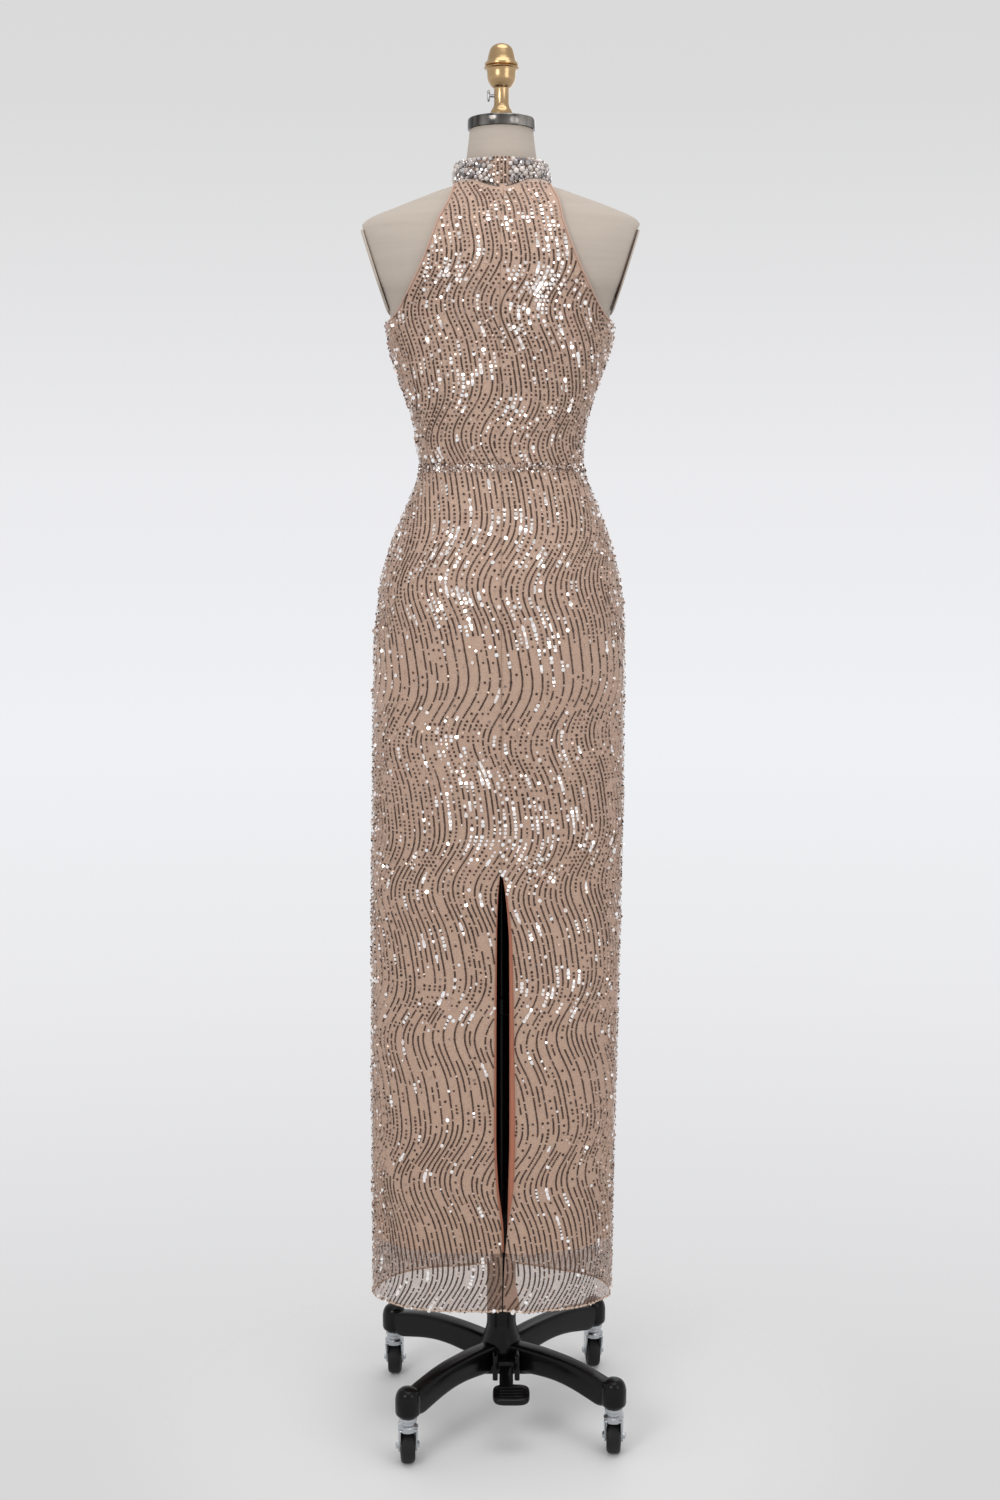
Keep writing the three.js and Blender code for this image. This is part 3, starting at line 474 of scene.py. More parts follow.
def copies(form, places, axes, sizes):
    """Points and faces of many copies of a small form, each with its own axes and size."""
    points, faces = form
    spread = points[None] * np.asarray(sizes, float).reshape(len(places), -1)[:, None, :]
    placed = places[:, None] + np.einsum("nki,nij->nkj", spread, axes)
    offsets = np.arange(len(places))[:, None, None] * len(points)
    return placed.reshape(-1, 3), (faces[None] + offsets).reshape(-1, faces.shape[1])


def turned_about(axes, which, angles):
    """The same sets of axes, each turned about one of its own axes."""
    c, s = np.cos(angles)[:, None], np.sin(angles)[:, None]
    a, b = (which + 1) % 3, (which + 2) % 3
    made = axes.copy()
    made[:, a] = axes[:, a] * c + axes[:, b] * s
    made[:, b] = axes[:, b] * c - axes[:, a] * s
    return made


# ---------------------------------------------------------------- finishes


def linear(code):
    """An sRGB hex colour as the linear colour that Blender's sockets take."""
    parts = [int(code[i : i + 2], 16) / 255 for i in (1, 3, 5)]
    bent = [c / 12.92 if c <= 0.04045 else ((c + 0.055) / 1.055) ** 2.4 for c in parts]
    return (*bent, 1.0)


def add(tree, kind, sockets=None, **settings):
    """Adds a node. A socket is given a value, a hex colour, or a node or its output to link."""
    made = tree.nodes.new("ShaderNode" + kind)
    for name, value in settings.items():
        setattr(made, name, value)
    for name, value in (sockets or {}).items():
        if isinstance(value, bpy.types.Node):
            value = next(output for output in value.outputs if output.enabled)
        if isinstance(value, bpy.types.NodeSocket):
            tree.links.new(value, made.inputs[name])
        else:
            made.inputs[name].default_value = linear(value) if isinstance(value, str) else value
    return made


def started(name):
    """A new material, its tree, and the place on the piece, where its pattern starts."""
    made = bpy.data.materials.new(name)
    made.use_nodes = True
    made.node_tree.nodes.clear()
    return made, made.node_tree, add(made.node_tree, "TexCoord").outputs["Object"]


def finished(made, sockets):
    """The material with its one shader."""
    shader = add(made.node_tree, "BsdfPrincipled", sockets)
    add(made.node_tree, "OutputMaterial", {"Surface": shader})
    return made


def net_over_satin():
    """Polyester net over satin: matt, with a pale sheen where it turns away, sheer at the hem."""
    made, tree, place = started("net over satin")
    height = add(tree, "SeparateXYZ", {"Vector": place}).outputs["Z"]
    # The cloth is a little pinker over the form's linen and warmer where only the lining backs it
    low = add(tree, "MapRange", {"Value": height, "From Min": 1.45, "From Max": 0.25})
    body_colour = add(tree, "Mix", {0: low, 6: "#c3a491", 7: "#b7967f"}, data_type="RGBA")
    # Patches 60 mm across where the net lies nearer to the satin or further off it
    patches = {"Vector": place, "Scale": 16.0, "Detail": 3.0, "Roughness": 0.6}
    cloud = add(tree, "TexNoise", patches)
    patchy = add(tree, "Mix", {0: cloud, 6: body_colour, 7: "#cfb39c"}, data_type="RGBA")
    # Net holes are 1 mm across: drawn 1.6 mm, because finer than that doesn't show
    holes = add(tree, "TexVoronoi", {"Vector": place, "Scale": 620.0}, feature="DISTANCE_TO_EDGE")
    thread = add(tree, "MapRange", {"Value": holes, "From Min": 0.22, "From Max": 0.02})
    threaded = add(tree, "Mix", {0: thread, 6: patchy, 7: "#a58676"}, data_type="RGBA")
    bump = add(tree, "Bump", {"Height": thread, "Strength": 0.25, "Distance": 0.0004})
    # Under the lining's own hem only the net is left, and light comes through between its threads
    lining_ends = {"From Min": (LINING_HEM_Z - 1.5) * MM, "From Max": (LINING_HEM_Z + 0.5) * MM}
    band = add(tree, "MapRange", {"Value": height, **lining_ends})
    sheer = add(tree, "MapRange", {"Value": thread, "To Min": 0.16, "To Max": 0.5})
    cover = add(tree, "Math", {0: band, 1: sheer}, operation="MAXIMUM")
    sheen = {"Sheen Weight": 0.9, "Sheen Roughness": 0.32, "Sheen Tint": "#f3ece8"}
    pattern = {"Base Color": threaded, "Normal": bump, "Alpha": cover}
    return finished(made, {"Roughness": 0.62, "IOR": 1.5, **sheen, **pattern})


def grained(name, dark, light, scale, detail, relief, look, stretch=1.0, rough=None):
    """A material whose one fine noise gives its two tones and its relief (strength, depth)."""
    made, tree, place = started(name)
    long_way = add(tree, "Mapping", {"Vector": place, "Scale": (1.0, 1.0, stretch)})
    grain = add(tree, "TexNoise", {"Vector": long_way, "Scale": scale, "Detail": detail})
    colour = add(tree, "Mix", {0: grain, 6: dark, 7: light}, data_type="RGBA")
    bump = add(tree, "Bump", {"Height": grain, "Strength": relief[0], "Distance": relief[1]})
    if rough:
        ends = {"To Min": rough[0], "To Max": rough[1]}
        look = {**look, "Roughness": add(tree, "MapRange", {"Value": grain, **ends})}
    return finished(made, {"Base Color": colour, "Normal": bump, **look})


def toned(name, dark, light, look, buckled=False):
    """Small loose things of one material, each with its own tone."""
    made, tree, place = started(name)
    tone = add(tree, "NewGeometry").outputs["Random Per Island"]
    colour = add(tree, "Mix", {0: tone, 6: dark, 7: light}, data_type="RGBA")
    if buckled:
        # The film buckles a little over 2 mm as it is punched
        buckle = add(tree, "TexNoise", {"Vector": place, "Scale": 480.0, "Detail": 1.0})
        bump = add(tree, "Bump", {"Height": buckle, "Strength": 0.3, "Distance": 0.0004})
        look = {**look, "Normal": bump}
    return finished(made, {"Base Color": colour, **look})


def sequin(name, dark, light, metallic, roughness, coat):
    """Punched metallised film: each sequin has its own tone, and a clear coat that glints."""
    coating = {"Coat Weight": coat, "Coat Roughness": 0.12}
    look = {"Metallic": metallic, "Roughness": roughness, **coating}
    return toned(name, dark, light, look, buckled=True)


def hem_tape():
    """The net's own hem, rolled twice and overlocked in an orange-tan thread."""
    made, tree, place = started("rolled hem")
    # Overlock stitches are 2.5 mm apart
    stitches = {"Vector": place, "Scale": 63.0, "Distortion": 2.0}
    ridge = add(tree, "TexWave", stitches, bands_direction="X").outputs["Fac"]
    colour = add(tree, "Mix", {0: ridge, 6: "#d2bcab", 7: "#bfa38f"}, data_type="RGBA")
    bump = add(tree, "Bump", {"Height": ridge, "Strength": 0.5, "Distance": 0.0005})
    return finished(made, {"Base Color": colour, "Normal": bump, "Roughness": 0.6, "IOR": 1.5})


def linen():
    """Natural linen stretched over the form: plain weave with slubs, dead matt."""
    made, tree, place = started("form linen")
    # Threads are 0.6 mm apart: drawn 1.3 mm apart, the finest that shows
    threads = {"Vector": place, "Scale": 240.0, "Distortion": 1.6, "Detail": 1.0}
    weft = add(tree, "TexWave", threads, bands_direction="Z").outputs["Fac"]
    warp = add(tree, "TexWave", threads, bands_direction="X").outputs["Fac"]
    weave = add(tree, "Math", {0: weft, 1: warp}, operation="MULTIPLY")
    slub_place = add(tree, "Mapping", {"Vector": place, "Scale": (12.0, 12.0, 160.0)})
    slub = add(tree, "TexNoise", {"Vector": slub_place, "Scale": 1.0, "Detail": 3.0})
    colour = add(tree, "Mix", {0: slub, 6: "#b8aca0", 7: "#a69b90"}, data_type="RGBA")
    woven = add(tree, "Mix", {0: weave, 6: colour, 7: "#bbb0a4"}, data_type="RGBA")
    bump = add(tree, "Bump", {"Height": weave, "Strength": 0.2, "Distance": 0.0004})
    look = {"Roughness": 0.9, "IOR": 1.45, "Sheen Weight": 0.12}
    return finished(made, {"Base Color": woven, "Normal": bump, **look})


def metal(name, colour, worn_and_streak_shade, roughness, streak, contrast=0.5):
    """A polished or brushed metal. Brush marks run round the piece, streak millimetres apart."""
    made, tree, place = started(name)
    flat = add(tree, "Mapping", {"Vector": place, "Scale": (0.06, 0.06, 1.0)})
    marks = add(tree, "TexNoise", {"Vector": flat, "Scale": 1000.0 / streak, "Detail": 3.0})
    # Bands 30 mm broad run up the piece. On the brass and the zinc they are the faint bright and
    # dull bands that hand polishing leaves; on the blued steel they are banded sharply from pale to
    # dark, and are painted reflection streaks
    upright = add(tree, "Mapping", {"Vector": place, "Scale": (1.0, 1.0, 0.1)})
    bands = add(tree, "TexNoise", {"Vector": upright, "Scale": 34.0, "Detail": 1.5})
    spread = {"From Min": 0.5 - contrast, "From Max": 0.5 + contrast}
    cloud = add(tree, "MapRange", {"Value": bands, **spread})
    tone = add(tree, "Mix", {0: cloud, 6: colour, 7: worn_and_streak_shade}, data_type="RGBA")
    ends = {"To Min": roughness * 0.7, "To Max": roughness * 1.4}
    rough = add(tree, "MapRange", {"Value": marks, **ends})
    bump = add(tree, "Bump", {"Height": marks, "Strength": 0.06, "Distance": 0.0002})
    pattern = {"Base Color": tone, "Roughness": rough, "Normal": bump}
    return finished(made, {"Metallic": 1.0, **pattern})


def black_enamel():
    """Cast iron under stoved black enamel: glossy, with faint orange peel and dulled patches."""
    made, tree, place = started("black enamel")
    dust = add(tree, "TexNoise", {"Vector": place, "Scale": 45.0, "Detail": 5.0})
    colour = add(tree, "Mix", {0: dust, 6: "#050505", 7: "#0d0d0e"}, data_type="RGBA")
    rough = add(tree, "MapRange", {"Value": dust, "To Min": 0.16, "To Max": 0.32})
    # Orange peel ripples 4 mm across
    peel = add(tree, "TexNoise", {"Vector": place, "Scale": 260.0, "Detail": 1.0})
    bump = add(tree, "Bump", {"Height": peel, "Strength": 0.12, "Distance": 0.0005})
    pattern = {"Base Color": colour, "Roughness": rough, "Normal": bump}
    return finished(made, {"IOR": 1.5, "Specular IOR Level": 0.2, **pattern})


NET = net_over_satin()
# Woven acetate satin: reddish tan, smooth, with a soft shine. Its warp threads are 0.2 mm apart:
# drawn as streaks 1 mm apart that run down the cloth
SATIN_LOOK = {"Roughness": 0.42, "IOR": 1.48, "Sheen Weight": 0.15}
SATIN = grained(
    "lining satin", "#b9775c", "#a5654c", 900.0, 2.0, (0.15, 0.0003), SATIN_LOOK, stretch=0.05
)
BRONZE_SEQUIN = sequin("bronze sequin", "#2c1b13", "#573c2e", 0.5, 0.38, 0.3)
TAN_SEQUIN = sequin("tan sequin", "#a58a7c", "#cbb3a5", 0.6, 0.3, 0.6)
# Near-white mirror sequins, set where glints fall: painted glints
GLINT_PAINTED_SEQUIN = sequin("champagne sequin painted glint", "#f0e2da", "#ffffff", 0.85, 0.24, 0.9)
# Bias tape in pinkish tan crepe, folded over the cloth's edge: dull, with a grain of about 0.8 mm
TAPE_LOOK = {"Roughness": 0.7, "IOR": 1.5, "Sheen Weight": 0.3}
TAPE = grained("binding tape", "#c0a08f", "#ac8877", 1200.0, 2.0, (0.3, 0.0003), TAPE_LOOK)
ROLLED_HEM = hem_tape()
# Cut glass backed with foil: bright facets that glint silver, grey and white
FOILED = {"Metallic": 0.75, "Roughness": 0.08}
POLISHED = {"Coat Weight": 1.0, "Coat Roughness": 0.03, "Coat IOR": 1.6}
CRYSTAL = toned("foiled crystal", "#5c5656", "#dcd5d3", {**FOILED, **POLISHED})
# Glass pearl: a lacquered nacre with a soft deep shine and a faint pink cast
NACRE = {"Roughness": 0.24, "IOR": 1.53, "Sheen Weight": 0.2}
LACQUER = {"Coat Weight": 0.8, "Coat Roughness": 0.08}
PEARL = toned("glass pearl", "#a89b93", "#e2d8d1", {**NACRE, **LACQUER})
LINEN = linen()
# Turned beech, stained dark brown and waxed, with grain lines 2 mm apart along the board. Only the
# right arm plate's board takes it: its dark rim is painted shade along that plate's edge
BEECH_LOOK = {"Roughness": 0.45, "IOR": 1.5, "Coat Weight": 0.15}
BEECH_PAINTED_SHADE_RIM = grained(
    "stained beech painted shade rim", "#5a4032", "#3d2a20", 500.0, 4.0, (0.15, 0.0003), BEECH_LOOK, stretch=0.12
)
# The neck cap's pale and dark tones, banded sharply up the piece, are painted reflection streaks
DARK_STEEL = metal("blued steel painted streaks", "#a39e98", "#363433", 0.16, 0.8, 0.09)
BRASS = metal("satin brass", "#c4a780", "#af9067", 0.24, 0.6)
BRIGHT_STEEL = metal("bright zinc", "#c9ccd0", "#a9adb2", 0.24, 0.7)
ENAMEL = black_enamel()
# Moulded black rubber: soft-edged glints, dulled by dust in the tread
RUBBER_LOOK = {"IOR": 1.52, "Specular IOR Level": 0.25}
RUBBER = grained(
    "wheel rubber", "#101010", "#1d1c1c", 180.0, 4.0, (0.15, 0.0004), RUBBER_LOOK,
    rough=(0.42, 0.65),
)
SEQUIN_FINISHES = (BRONZE_SEQUIN, TAN_SEQUIN, GLINT_PAINTED_SEQUIN)

# The body and the slot of the gown's cloth and of the beaded band
GOWN = ("form", "sequin_mesh")
BAND = ("form", "beaded_band")


# ---------------------------------------------------------------- gown


def grooved(turn, z, edges, depths, reach=3.2):
    """A distance out of the surface that dips in at a panel's left and right edges."""
    depth = along(SKIRT_SECTIONS, 3, z)
    dip = 0 * turn
    for edge, groove in zip(edges, depths):
        dip = dip - groove * np.exp(-(((turn - edge(z)) * depth / reach) ** 2))
    return dip


def seam_depths(name, depth=0.8):
    """The side seams are pressed in; at the centre back the sequins run over the seam."""
    if "lining" in name:
        return 0.0, 0.0
    if "front" in name:
        return depth, depth
    return (0.0, depth) if "right" in name else (depth, 0.0)


def level(height):
    """A panel's upper or lower edge that lies at one height all round."""
    return lambda turn: np.full(turn.shape, height)


def gown_panels():
    """Each panel of cloth as a thin shell, standing for its solid."""
    neck_radius = COLLAR_BASE_RADIUS + COLLAR_WALL + COLLAR_SEAM
    skirt = (skirt_surface, level(WAIST_Z - SEAM_HALF), hem_height, 190, (60, 120), SKIRT_LIFT)
    lining = (
        lining_surface, level(LINING_TOP_Z), level(LINING_HEM_Z), 110, (46, 90), LINING_LIFT
    )
    bodice = (
        form_surface,
        lambda turn: neckline(turn, neck_radius),
        level(WAIST_Z + SEAM_HALF),
        90,
        (56, 100),
        BODICE_LIFT,
    )
    made = {}
    for panels_of, kind, finish_of, place in (
        (SKIRT_PANELS, skirt, NET, GOWN),
        (LINING_PANELS, lining, SATIN, ("form", "lining_satin")),
        (BODICE_PANELS, bodice, NET, GOWN),
    ):
        surface, top, bottom, rows, columns, lift = kind
        for name, edges in panels_of.items():
            counts = rows, columns["front" in name]
            turn, z = panel_places(edges, top, bottom, *counts)
            points = moved_out(surface, turn, z, lift + grooved(turn, z, edges, seam_depths(name)))
            cloth = shown(name + "_cloth", points, grid_faces(*counts), finish_of, *place, smooth=0)
            cloth.data.shade_smooth()
            thickened(cloth, SHELL)
            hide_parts(name)
            made[name] = cloth
    return made


# Heights and ways round at which the turn on each section is worked out once
HEIGHTS = np.arange(180.0, 1806.0, 6.0)
WAYS = np.arange(0.0, 420.0, 2.0)


def turns_by_way(rows, depth_column):
    """For every height, the turn that lies a given way round the section from its centre line."""
    turn = np.linspace(0, np.pi / 2, 121)
    middle = (turn[1:] + turn[:-1]) / 2
    table = []
    for z in HEIGHTS:
        half, depth = along(rows, 2, z), along(rows, depth_column, z)
        steps = np.hypot(half * np.cos(middle), depth * np.sin(middle)) * (turn[1] - turn[0])
        way = np.concatenate([[0.0], np.cumsum(steps)])
        table.append(np.interp(WAYS, way, turn, right=9.0))
    return np.array(table)


def turn_at(table, way, z):
    """The turn at a way round and a height, between the table's rows and columns."""
    i = np.clip((z - HEIGHTS[0]) / (HEIGHTS[1] - HEIGHTS[0]), 0, len(HEIGHTS) - 1.001)
    j = np.clip(np.abs(way) / (WAYS[1] - WAYS[0]), 0, len(WAYS) - 1.001)
    i0, j0 = i.astype(int), j.astype(int)
    di, dj = i - i0, j - j0
    upper = table[i0, j0] * (1 - dj) + table[i0, j0 + 1] * dj
    lower = table[i0 + 1, j0] * (1 - dj) + table[i0 + 1, j0 + 1] * dj
    return (upper * (1 - di) + lower * di) * np.sign(way)


def scramble(a, b):
    """A fixed number from 0 to 1 for each pair of whole numbers."""
    mixed = np.sin(np.asarray(a) * 127.1 + np.asarray(b) * 311.7) * 43758.5453
    return mixed - np.floor(mixed)


def wave(part, row, z, phase):
    """How far a row of sequins swings to the side at a height."""
    length, reach = WAVE_LENGTH[part], WAVE_REACH[part]
    swing = FULL * z / length + phase + 0.22 * np.sin(row * 0.23)
    uneven = 0.22 * np.sin(2 * swing + 0.8) + 0.12 * np.sin(0.5 * swing + row * 0.11)
    return reach * (np.sin(swing) + uneven)


def row_places(part, rows, z_from, z_to, phase):
    """Every sequin of a panel's rows: way round, height, row number and whether it is in a line."""
    steps = np.arange(z_from, z_to, LINE_PITCH)
    row, z = np.meshgrid(rows, steps, indexing="ij")
    step = np.round(z / LINE_PITCH).astype(int)
    way = ROW_SPACING[part] * (row + 0.5) + wave(part, row, z, phase)
    way = way + 0.6 * np.sin(row * 0.9 + z / 90)
    # The bands of stitching follow the swirl, so they don't end level all round
    level = z + 11 * np.sin(row * 0.31 + phase * 2) + 5 * np.sin(row * 0.83 + 1.1)
    if part == "bodice":
        level = np.maximum(level, WAIST_Z)
    odd_row = row % 2 == 1
    in_lines = np.where(odd_row, along(STITCHING, 2, level), along(STITCHING, 1, level))
    stretch = scramble(row, np.floor(z / 24 + 3 * scramble(row, 3)))
    line = (stretch < in_lines) & (scramble(row + 7, step) > 0.06)
    dotted = (step % 2 == 0) & (scramble(row, step) < along(STITCHING, 3, level))
    keep = line | dotted
    return way[keep], z[keep], row[keep], line[keep]


def painted_glint_share(turn, z):
    """The share of light sequins, which are painted glints, at a place: a few everywhere, and many
    in the glint patches.
    """
    share = np.where(z > WAIST_Z, 0.10, 0.06)
    for at, height, reach, most in PAINTED_GLINT_PATCHES:
        width = apart(turn, at) * 2.6
        share = share + most * np.exp(-((width**2 + (z - height) ** 2) / reach**2))
    return share


SEQUIN_FORM = (
    np.array([(np.cos(a), np.sin(a), 0.0) for a in np.arange(6) * np.pi / 3]) / 2,
    np.array([[0, 1, 2, 3, 4, 5]]),
)


# Each kind of panel: its surface, edges, sections, the span of its rows and its lift
SKIRT = ("skirt", skirt_surface, SKIRT_PANELS, SKIRT_SECTIONS, HEM_Z - 2, WAIST_Z, SKIRT_LIFT)
BODICE = ("bodice", form_surface, BODICE_PANELS, FORM_SECTIONS, WAIST_Z, 1800.0, BODICE_LIFT)

# Each panel: its rows, their waves' phase, the depth column of its sections, the turn of its
# middle line, and the margins without sequins at its edges
ROWS = (
    (SKIRT, "skirt_back_right", (-3, 40), -0.25, 3, 0.0, (0.3, 1.0)),
    (SKIRT, "skirt_back_left", (-41, 3), -0.15, 3, FULL, (1.0, 0.3)),
    (SKIRT, "skirt_front", (-40, 41), 1.6, 4, np.pi, (0.3, 1.0)),
    (BODICE, "bodice_back_right", (-3, 38), -1.6, 3, 0.0, (0.3, 2.0)),
    (BODICE, "bodice_back_left", (-38, 3), -1.75, 3, FULL, (2.0, 0.3)),
    (BODICE, "bodice_front", (-40, 41), 0.4, 4, np.pi, (2.0, 2.0)),
)


def sequins_on(kind, name, rows, phase, column, middle, margins):
    """All the sequins sewn to one panel, as one joined mesh."""
    part, surface, panels_of, sections, z_from, z_to, lift = kind
    way, z, row, line = row_places(part, np.arange(*rows), z_from, z_to, phase)
    turn = middle + turn_at(turns_by_way(sections, column), way, z)
    left, right = panels_of[name]
    half = along(sections, 3, z)
    inner, outer = margins
    top, low = WAIST_Z - 3, hem_height(turn) - 1
    if part == "bodice":
        top, low = neckline(turn, NECK_SEQUINS_RADIUS), WAIST_Z + 3
    inside = (turn > left(z) + inner / half) & (turn < right(z) - outer / half)
    keep = inside & (z < top - 1.5) & (z > low)
    way, z, row, line, turn = (v[keep] for v in (way, z, row, line, turn))

    # At the sides the net is eased round the body and its sequins stand up; there the sequins are
    # also made paler and whiter, a painted sheen where the cloth turns away
    side = smooth_step(np.abs(np.sin(turn)), 0.80, 0.97)
    hem = smooth_step(z, HEM_Z + 12, HEM_Z + 4)
    count = len(z)
    share = painted_glint_share(turn, z)
    # Light sequins, which are painted glints, are strung in short chains along the rows, with
    # single ones between
    chain = scramble(row + 17, np.floor(z / 19 + scramble(row, 9))) < share * 0.8
    step = np.round(z / LINE_PITCH) % 2 == 0
    single = scramble(row + 5, np.round(z)) < share * 0.16
    whole = line & (scramble(row + 3, np.floor(z / 19 + scramble(row, 9))) < 0.45)
    strung = chain & (chance.uniform(0, 1, count) < 0.8) & (step | whole)
    bright = (step & single) | strung
    upper = smooth_step(z, 450, 950)
    # More white sequins at the sides, more of them higher up, and at the hem: painted glints
    bright = bright | (chance.uniform(0, 1, count) < (0.03 + 0.10 * upper) * side + 0.22 * hem)
    # Seen from behind through the sheer hem, the front's sequins show their pale backs
    backs = 0.75 * (z < LINING_HEM_Z) * (np.cos(turn) < 0.25)
    # The pale share rises at the sides and at the hem: painted sheen
    pale_share = np.where(line, 0.03, 0.12) + 0.72 * side + 0.3 * hem + backs
    pale = chance.uniform(0, 1, count) < pale_share
    pick = np.where(bright, 2, np.where(pale, 1, 0))

    across, up, out = frames_on(surface, turn, z)
    ahead = wave(part, row, z + 2, phase) - wave(part, row, z - 2, phase)
    axes = turned_about(np.stack([up, -across, out], axis=1), 2, np.arctan2(-ahead, 4.0))
    loose = 13 + 20 * side
    axes = turned_about(axes, 0, np.radians(chance.normal(0, 1, count) * loose))
    axes = turned_about(axes, 1, np.radians(9 + chance.normal(0, 0.6, count) * loose))
    disc = DISC_SEQUIN * chance.uniform(0.84, 1.14, count)
    shining = BRIGHT_SEQUIN * chance.uniform(0.62, 1.38, count)
    long_way = np.where(bright, shining, np.where(line, LINE_SEQUIN[0], disc))
    wide_way = np.where(bright, shining, np.where(line, LINE_SEQUIN[1], disc))
    sizes = np.stack([long_way, wide_way, np.ones(count)], axis=1)
    off = lift + np.where(bright, 1.1, np.where(line, 0.5, 0.8)) + chance.uniform(0, 0.35, count)
    off = off + side * chance.uniform(0, 1.4, count)
    places = surface(turn, z) + out * off[:, None]
    sewn = copies(SEQUIN_FORM, places, axes, sizes)
    return shown(name + "_sequins", *sewn, SEQUIN_FINISHES, *GOWN, picks=pick, smooth=0)


def armhole_bindings():
    """Bias tape folded over each armhole edge, from the collar down to the side seam."""
    made = {}
    z = np.concatenate([np.linspace(1776, 1640, 50), np.linspace(1636, 1597, 26)])
    edge = armhole_edge(z)
    for name, turns in (
        ("bodice_back_right", [edge]),
        ("bodice_front", [np.pi - edge, np.pi + edge]),
        ("bodice_back_left", [FULL - edge]),
    ):
        parts = []
        for turn in turns:
            line = moved_out(form_surface, turn, z, FORM_CLEARANCE + 1.2)
            out = frames_on(form_surface, turn, z)[2]
            parts.append(tube(line, 1.3, 10, flatten=0.9, up=out))
        made[name] = shown(name + "_binding", *merged(parts), TAPE, *GOWN, smooth=60)
    return made


def rolled_hems():
    """The rolled and overlocked hem of each skirt panel."""
    made = {}
    for name, (left, right) in SKIRT_PANELS.items():
        steps = 150 if "front" in name else 76
        start, end = left(np.array(HEM_Z + 4)), right(np.array(HEM_Z + 4))
        turn = start + (end - start) * np.linspace(0, 1, steps)
        line = moved_out(skirt_surface, turn, hem_height(turn) + 0.6, 1.1)
        hem = tube(line, 1.35 + 0.18 * np.sin(np.arange(steps) * 2.1), 8, flatten=1.3)
        made[name] = shown(name + "_hem", *hem, ROLLED_HEM, *GOWN, smooth=60)
    return made


def slit_turnings():
    """The turned-in edge on each side of the slit, which widens towards the sheer hem."""
    made = {}
    for name, edge, width, flare, finish_of in (
        ("skirt_back_left", "skirt_left", -3.0, -8.0, NET),
        ("skirt_back_right", "skirt_right", 3.0, 13.0, TAPE),
    ):

        def near(z, edge=edge):
            return slit_edge(edge, z)

        def far(z, edge=edge, width=width, flare=flare):
            spread = width + (flare - width) * smooth_step(z, 300, HEM_Z)
            return slit_edge(edge, z) + spread / 95.0

        edges = (near, far) if width > 0 else (far, near)
        turn, z = panel_places(edges, level(330.0), lambda t: hem_height(t) + 1, 34, 8)
        points = moved_out(skirt_surface, turn, z, -0.3)
        made[name] = shown(name + "_turning", points, grid_faces(34, 8), finish_of, *GOWN)
        thickened(made[name], 0.4)
    return made


def centre_seams():
    """The seam allowances pressed open behind the centre-back seam, which close it to the eye."""
    made = {}
    for name, surface, rows, low, high, lift in (
        ("skirt_back_right", skirt_surface, SKIRT_SECTIONS, SLIT_TOP_Z - 6, WAIST_Z, 0.9),
        ("bodice_back_right", form_surface, FORM_SECTIONS, WAIST_Z, 1775.0, 2.4),
    ):
        z = np.linspace(high, low, 90)[:, None] + np.zeros((1, 5))
        x = np.linspace(-4.0, 4.0, 5)[None, :]
        turn = np.arcsin((x - (along(rows, 1, z) if "skirt" in name else 0)) / along(rows, 2, z))
        points = moved_out(surface, turn, z, lift)
        made[name] = shown(name + "_allowance", points, grid_faces(90, 5), NET, *GOWN)
        thickened(made[name], 0.4)
    return made


def loose_sequins(name, places, axes, place, shares, tilt=26):
    """Small sequins of mixed finish, each tilted its own way, as one joined mesh."""
    count = len(places)
    for which in (0, 1):
        axes = turned_about(axes, which, np.radians(chance.normal(0, tilt, count)))
    size = np.repeat(chance.uniform(2.5, 3.9, count)[:, None], 3, axis=1)
    sewn = copies(SEQUIN_FORM, places, axes, size)
    pick = np.digitize(chance.uniform(0, 1, count), shares)
    return shown(name, *sewn, SEQUIN_FINISHES, *place, picks=pick, smooth=0)


WAIST_SPANS = {
    "bodice_back_right": (0.0, np.pi / 2 - 0.004),
    "bodice_front": (np.pi / 2 + 0.004, 3 * np.pi / 2 - 0.004),
    "bodice_back_left": (3 * np.pi / 2 + 0.004, FULL),
}


def waist_seam():
    """The joining seam at the waist: a ruffled ridge of net."""
    made = {}
    for name, (start, end) in WAIST_SPANS.items():
        turn = np.linspace(start, end, 120 if "front" in name else 60)
        z = WAIST_Z + 0.5 * np.sin(turn * 9) + 0.3 * np.sin(turn * 23)
        line = moved_out(skirt_surface, turn, z, SKIRT_LIFT)
        ridge = tube(line, 1.5 + 0.3 * np.sin(turn * 61), 8, flatten=1.9)
        made[name] = shown(name + "_waist_seam", *ridge, NET, *GOWN, smooth=60)
    return made


def waist_sequins():
    """The sequins crowded over the waist seam, where both pieces' rows run into it."""
    made = {}
    for name, (start, end) in WAIST_SPANS.items():
        count = int(260 * (end - start))
        turn = chance.uniform(start, end, count)
        z = WAIST_Z + np.clip(chance.normal(0, 3.0, count), -5.5, 5.5)
        across, up, out = frames_on(skirt_surface, turn, z)
        places = skirt_surface(turn, z) + out * (2.9 + chance.uniform(0, 1.2, count))[:, None]
        axes = np.stack([across, up, out], axis=1)
        made[name] = loose_sequins(name + "_waist_sequins", places, axes, GOWN, (0.14, 0.78))
    return made


# ---------------------------------------------------------------- collar


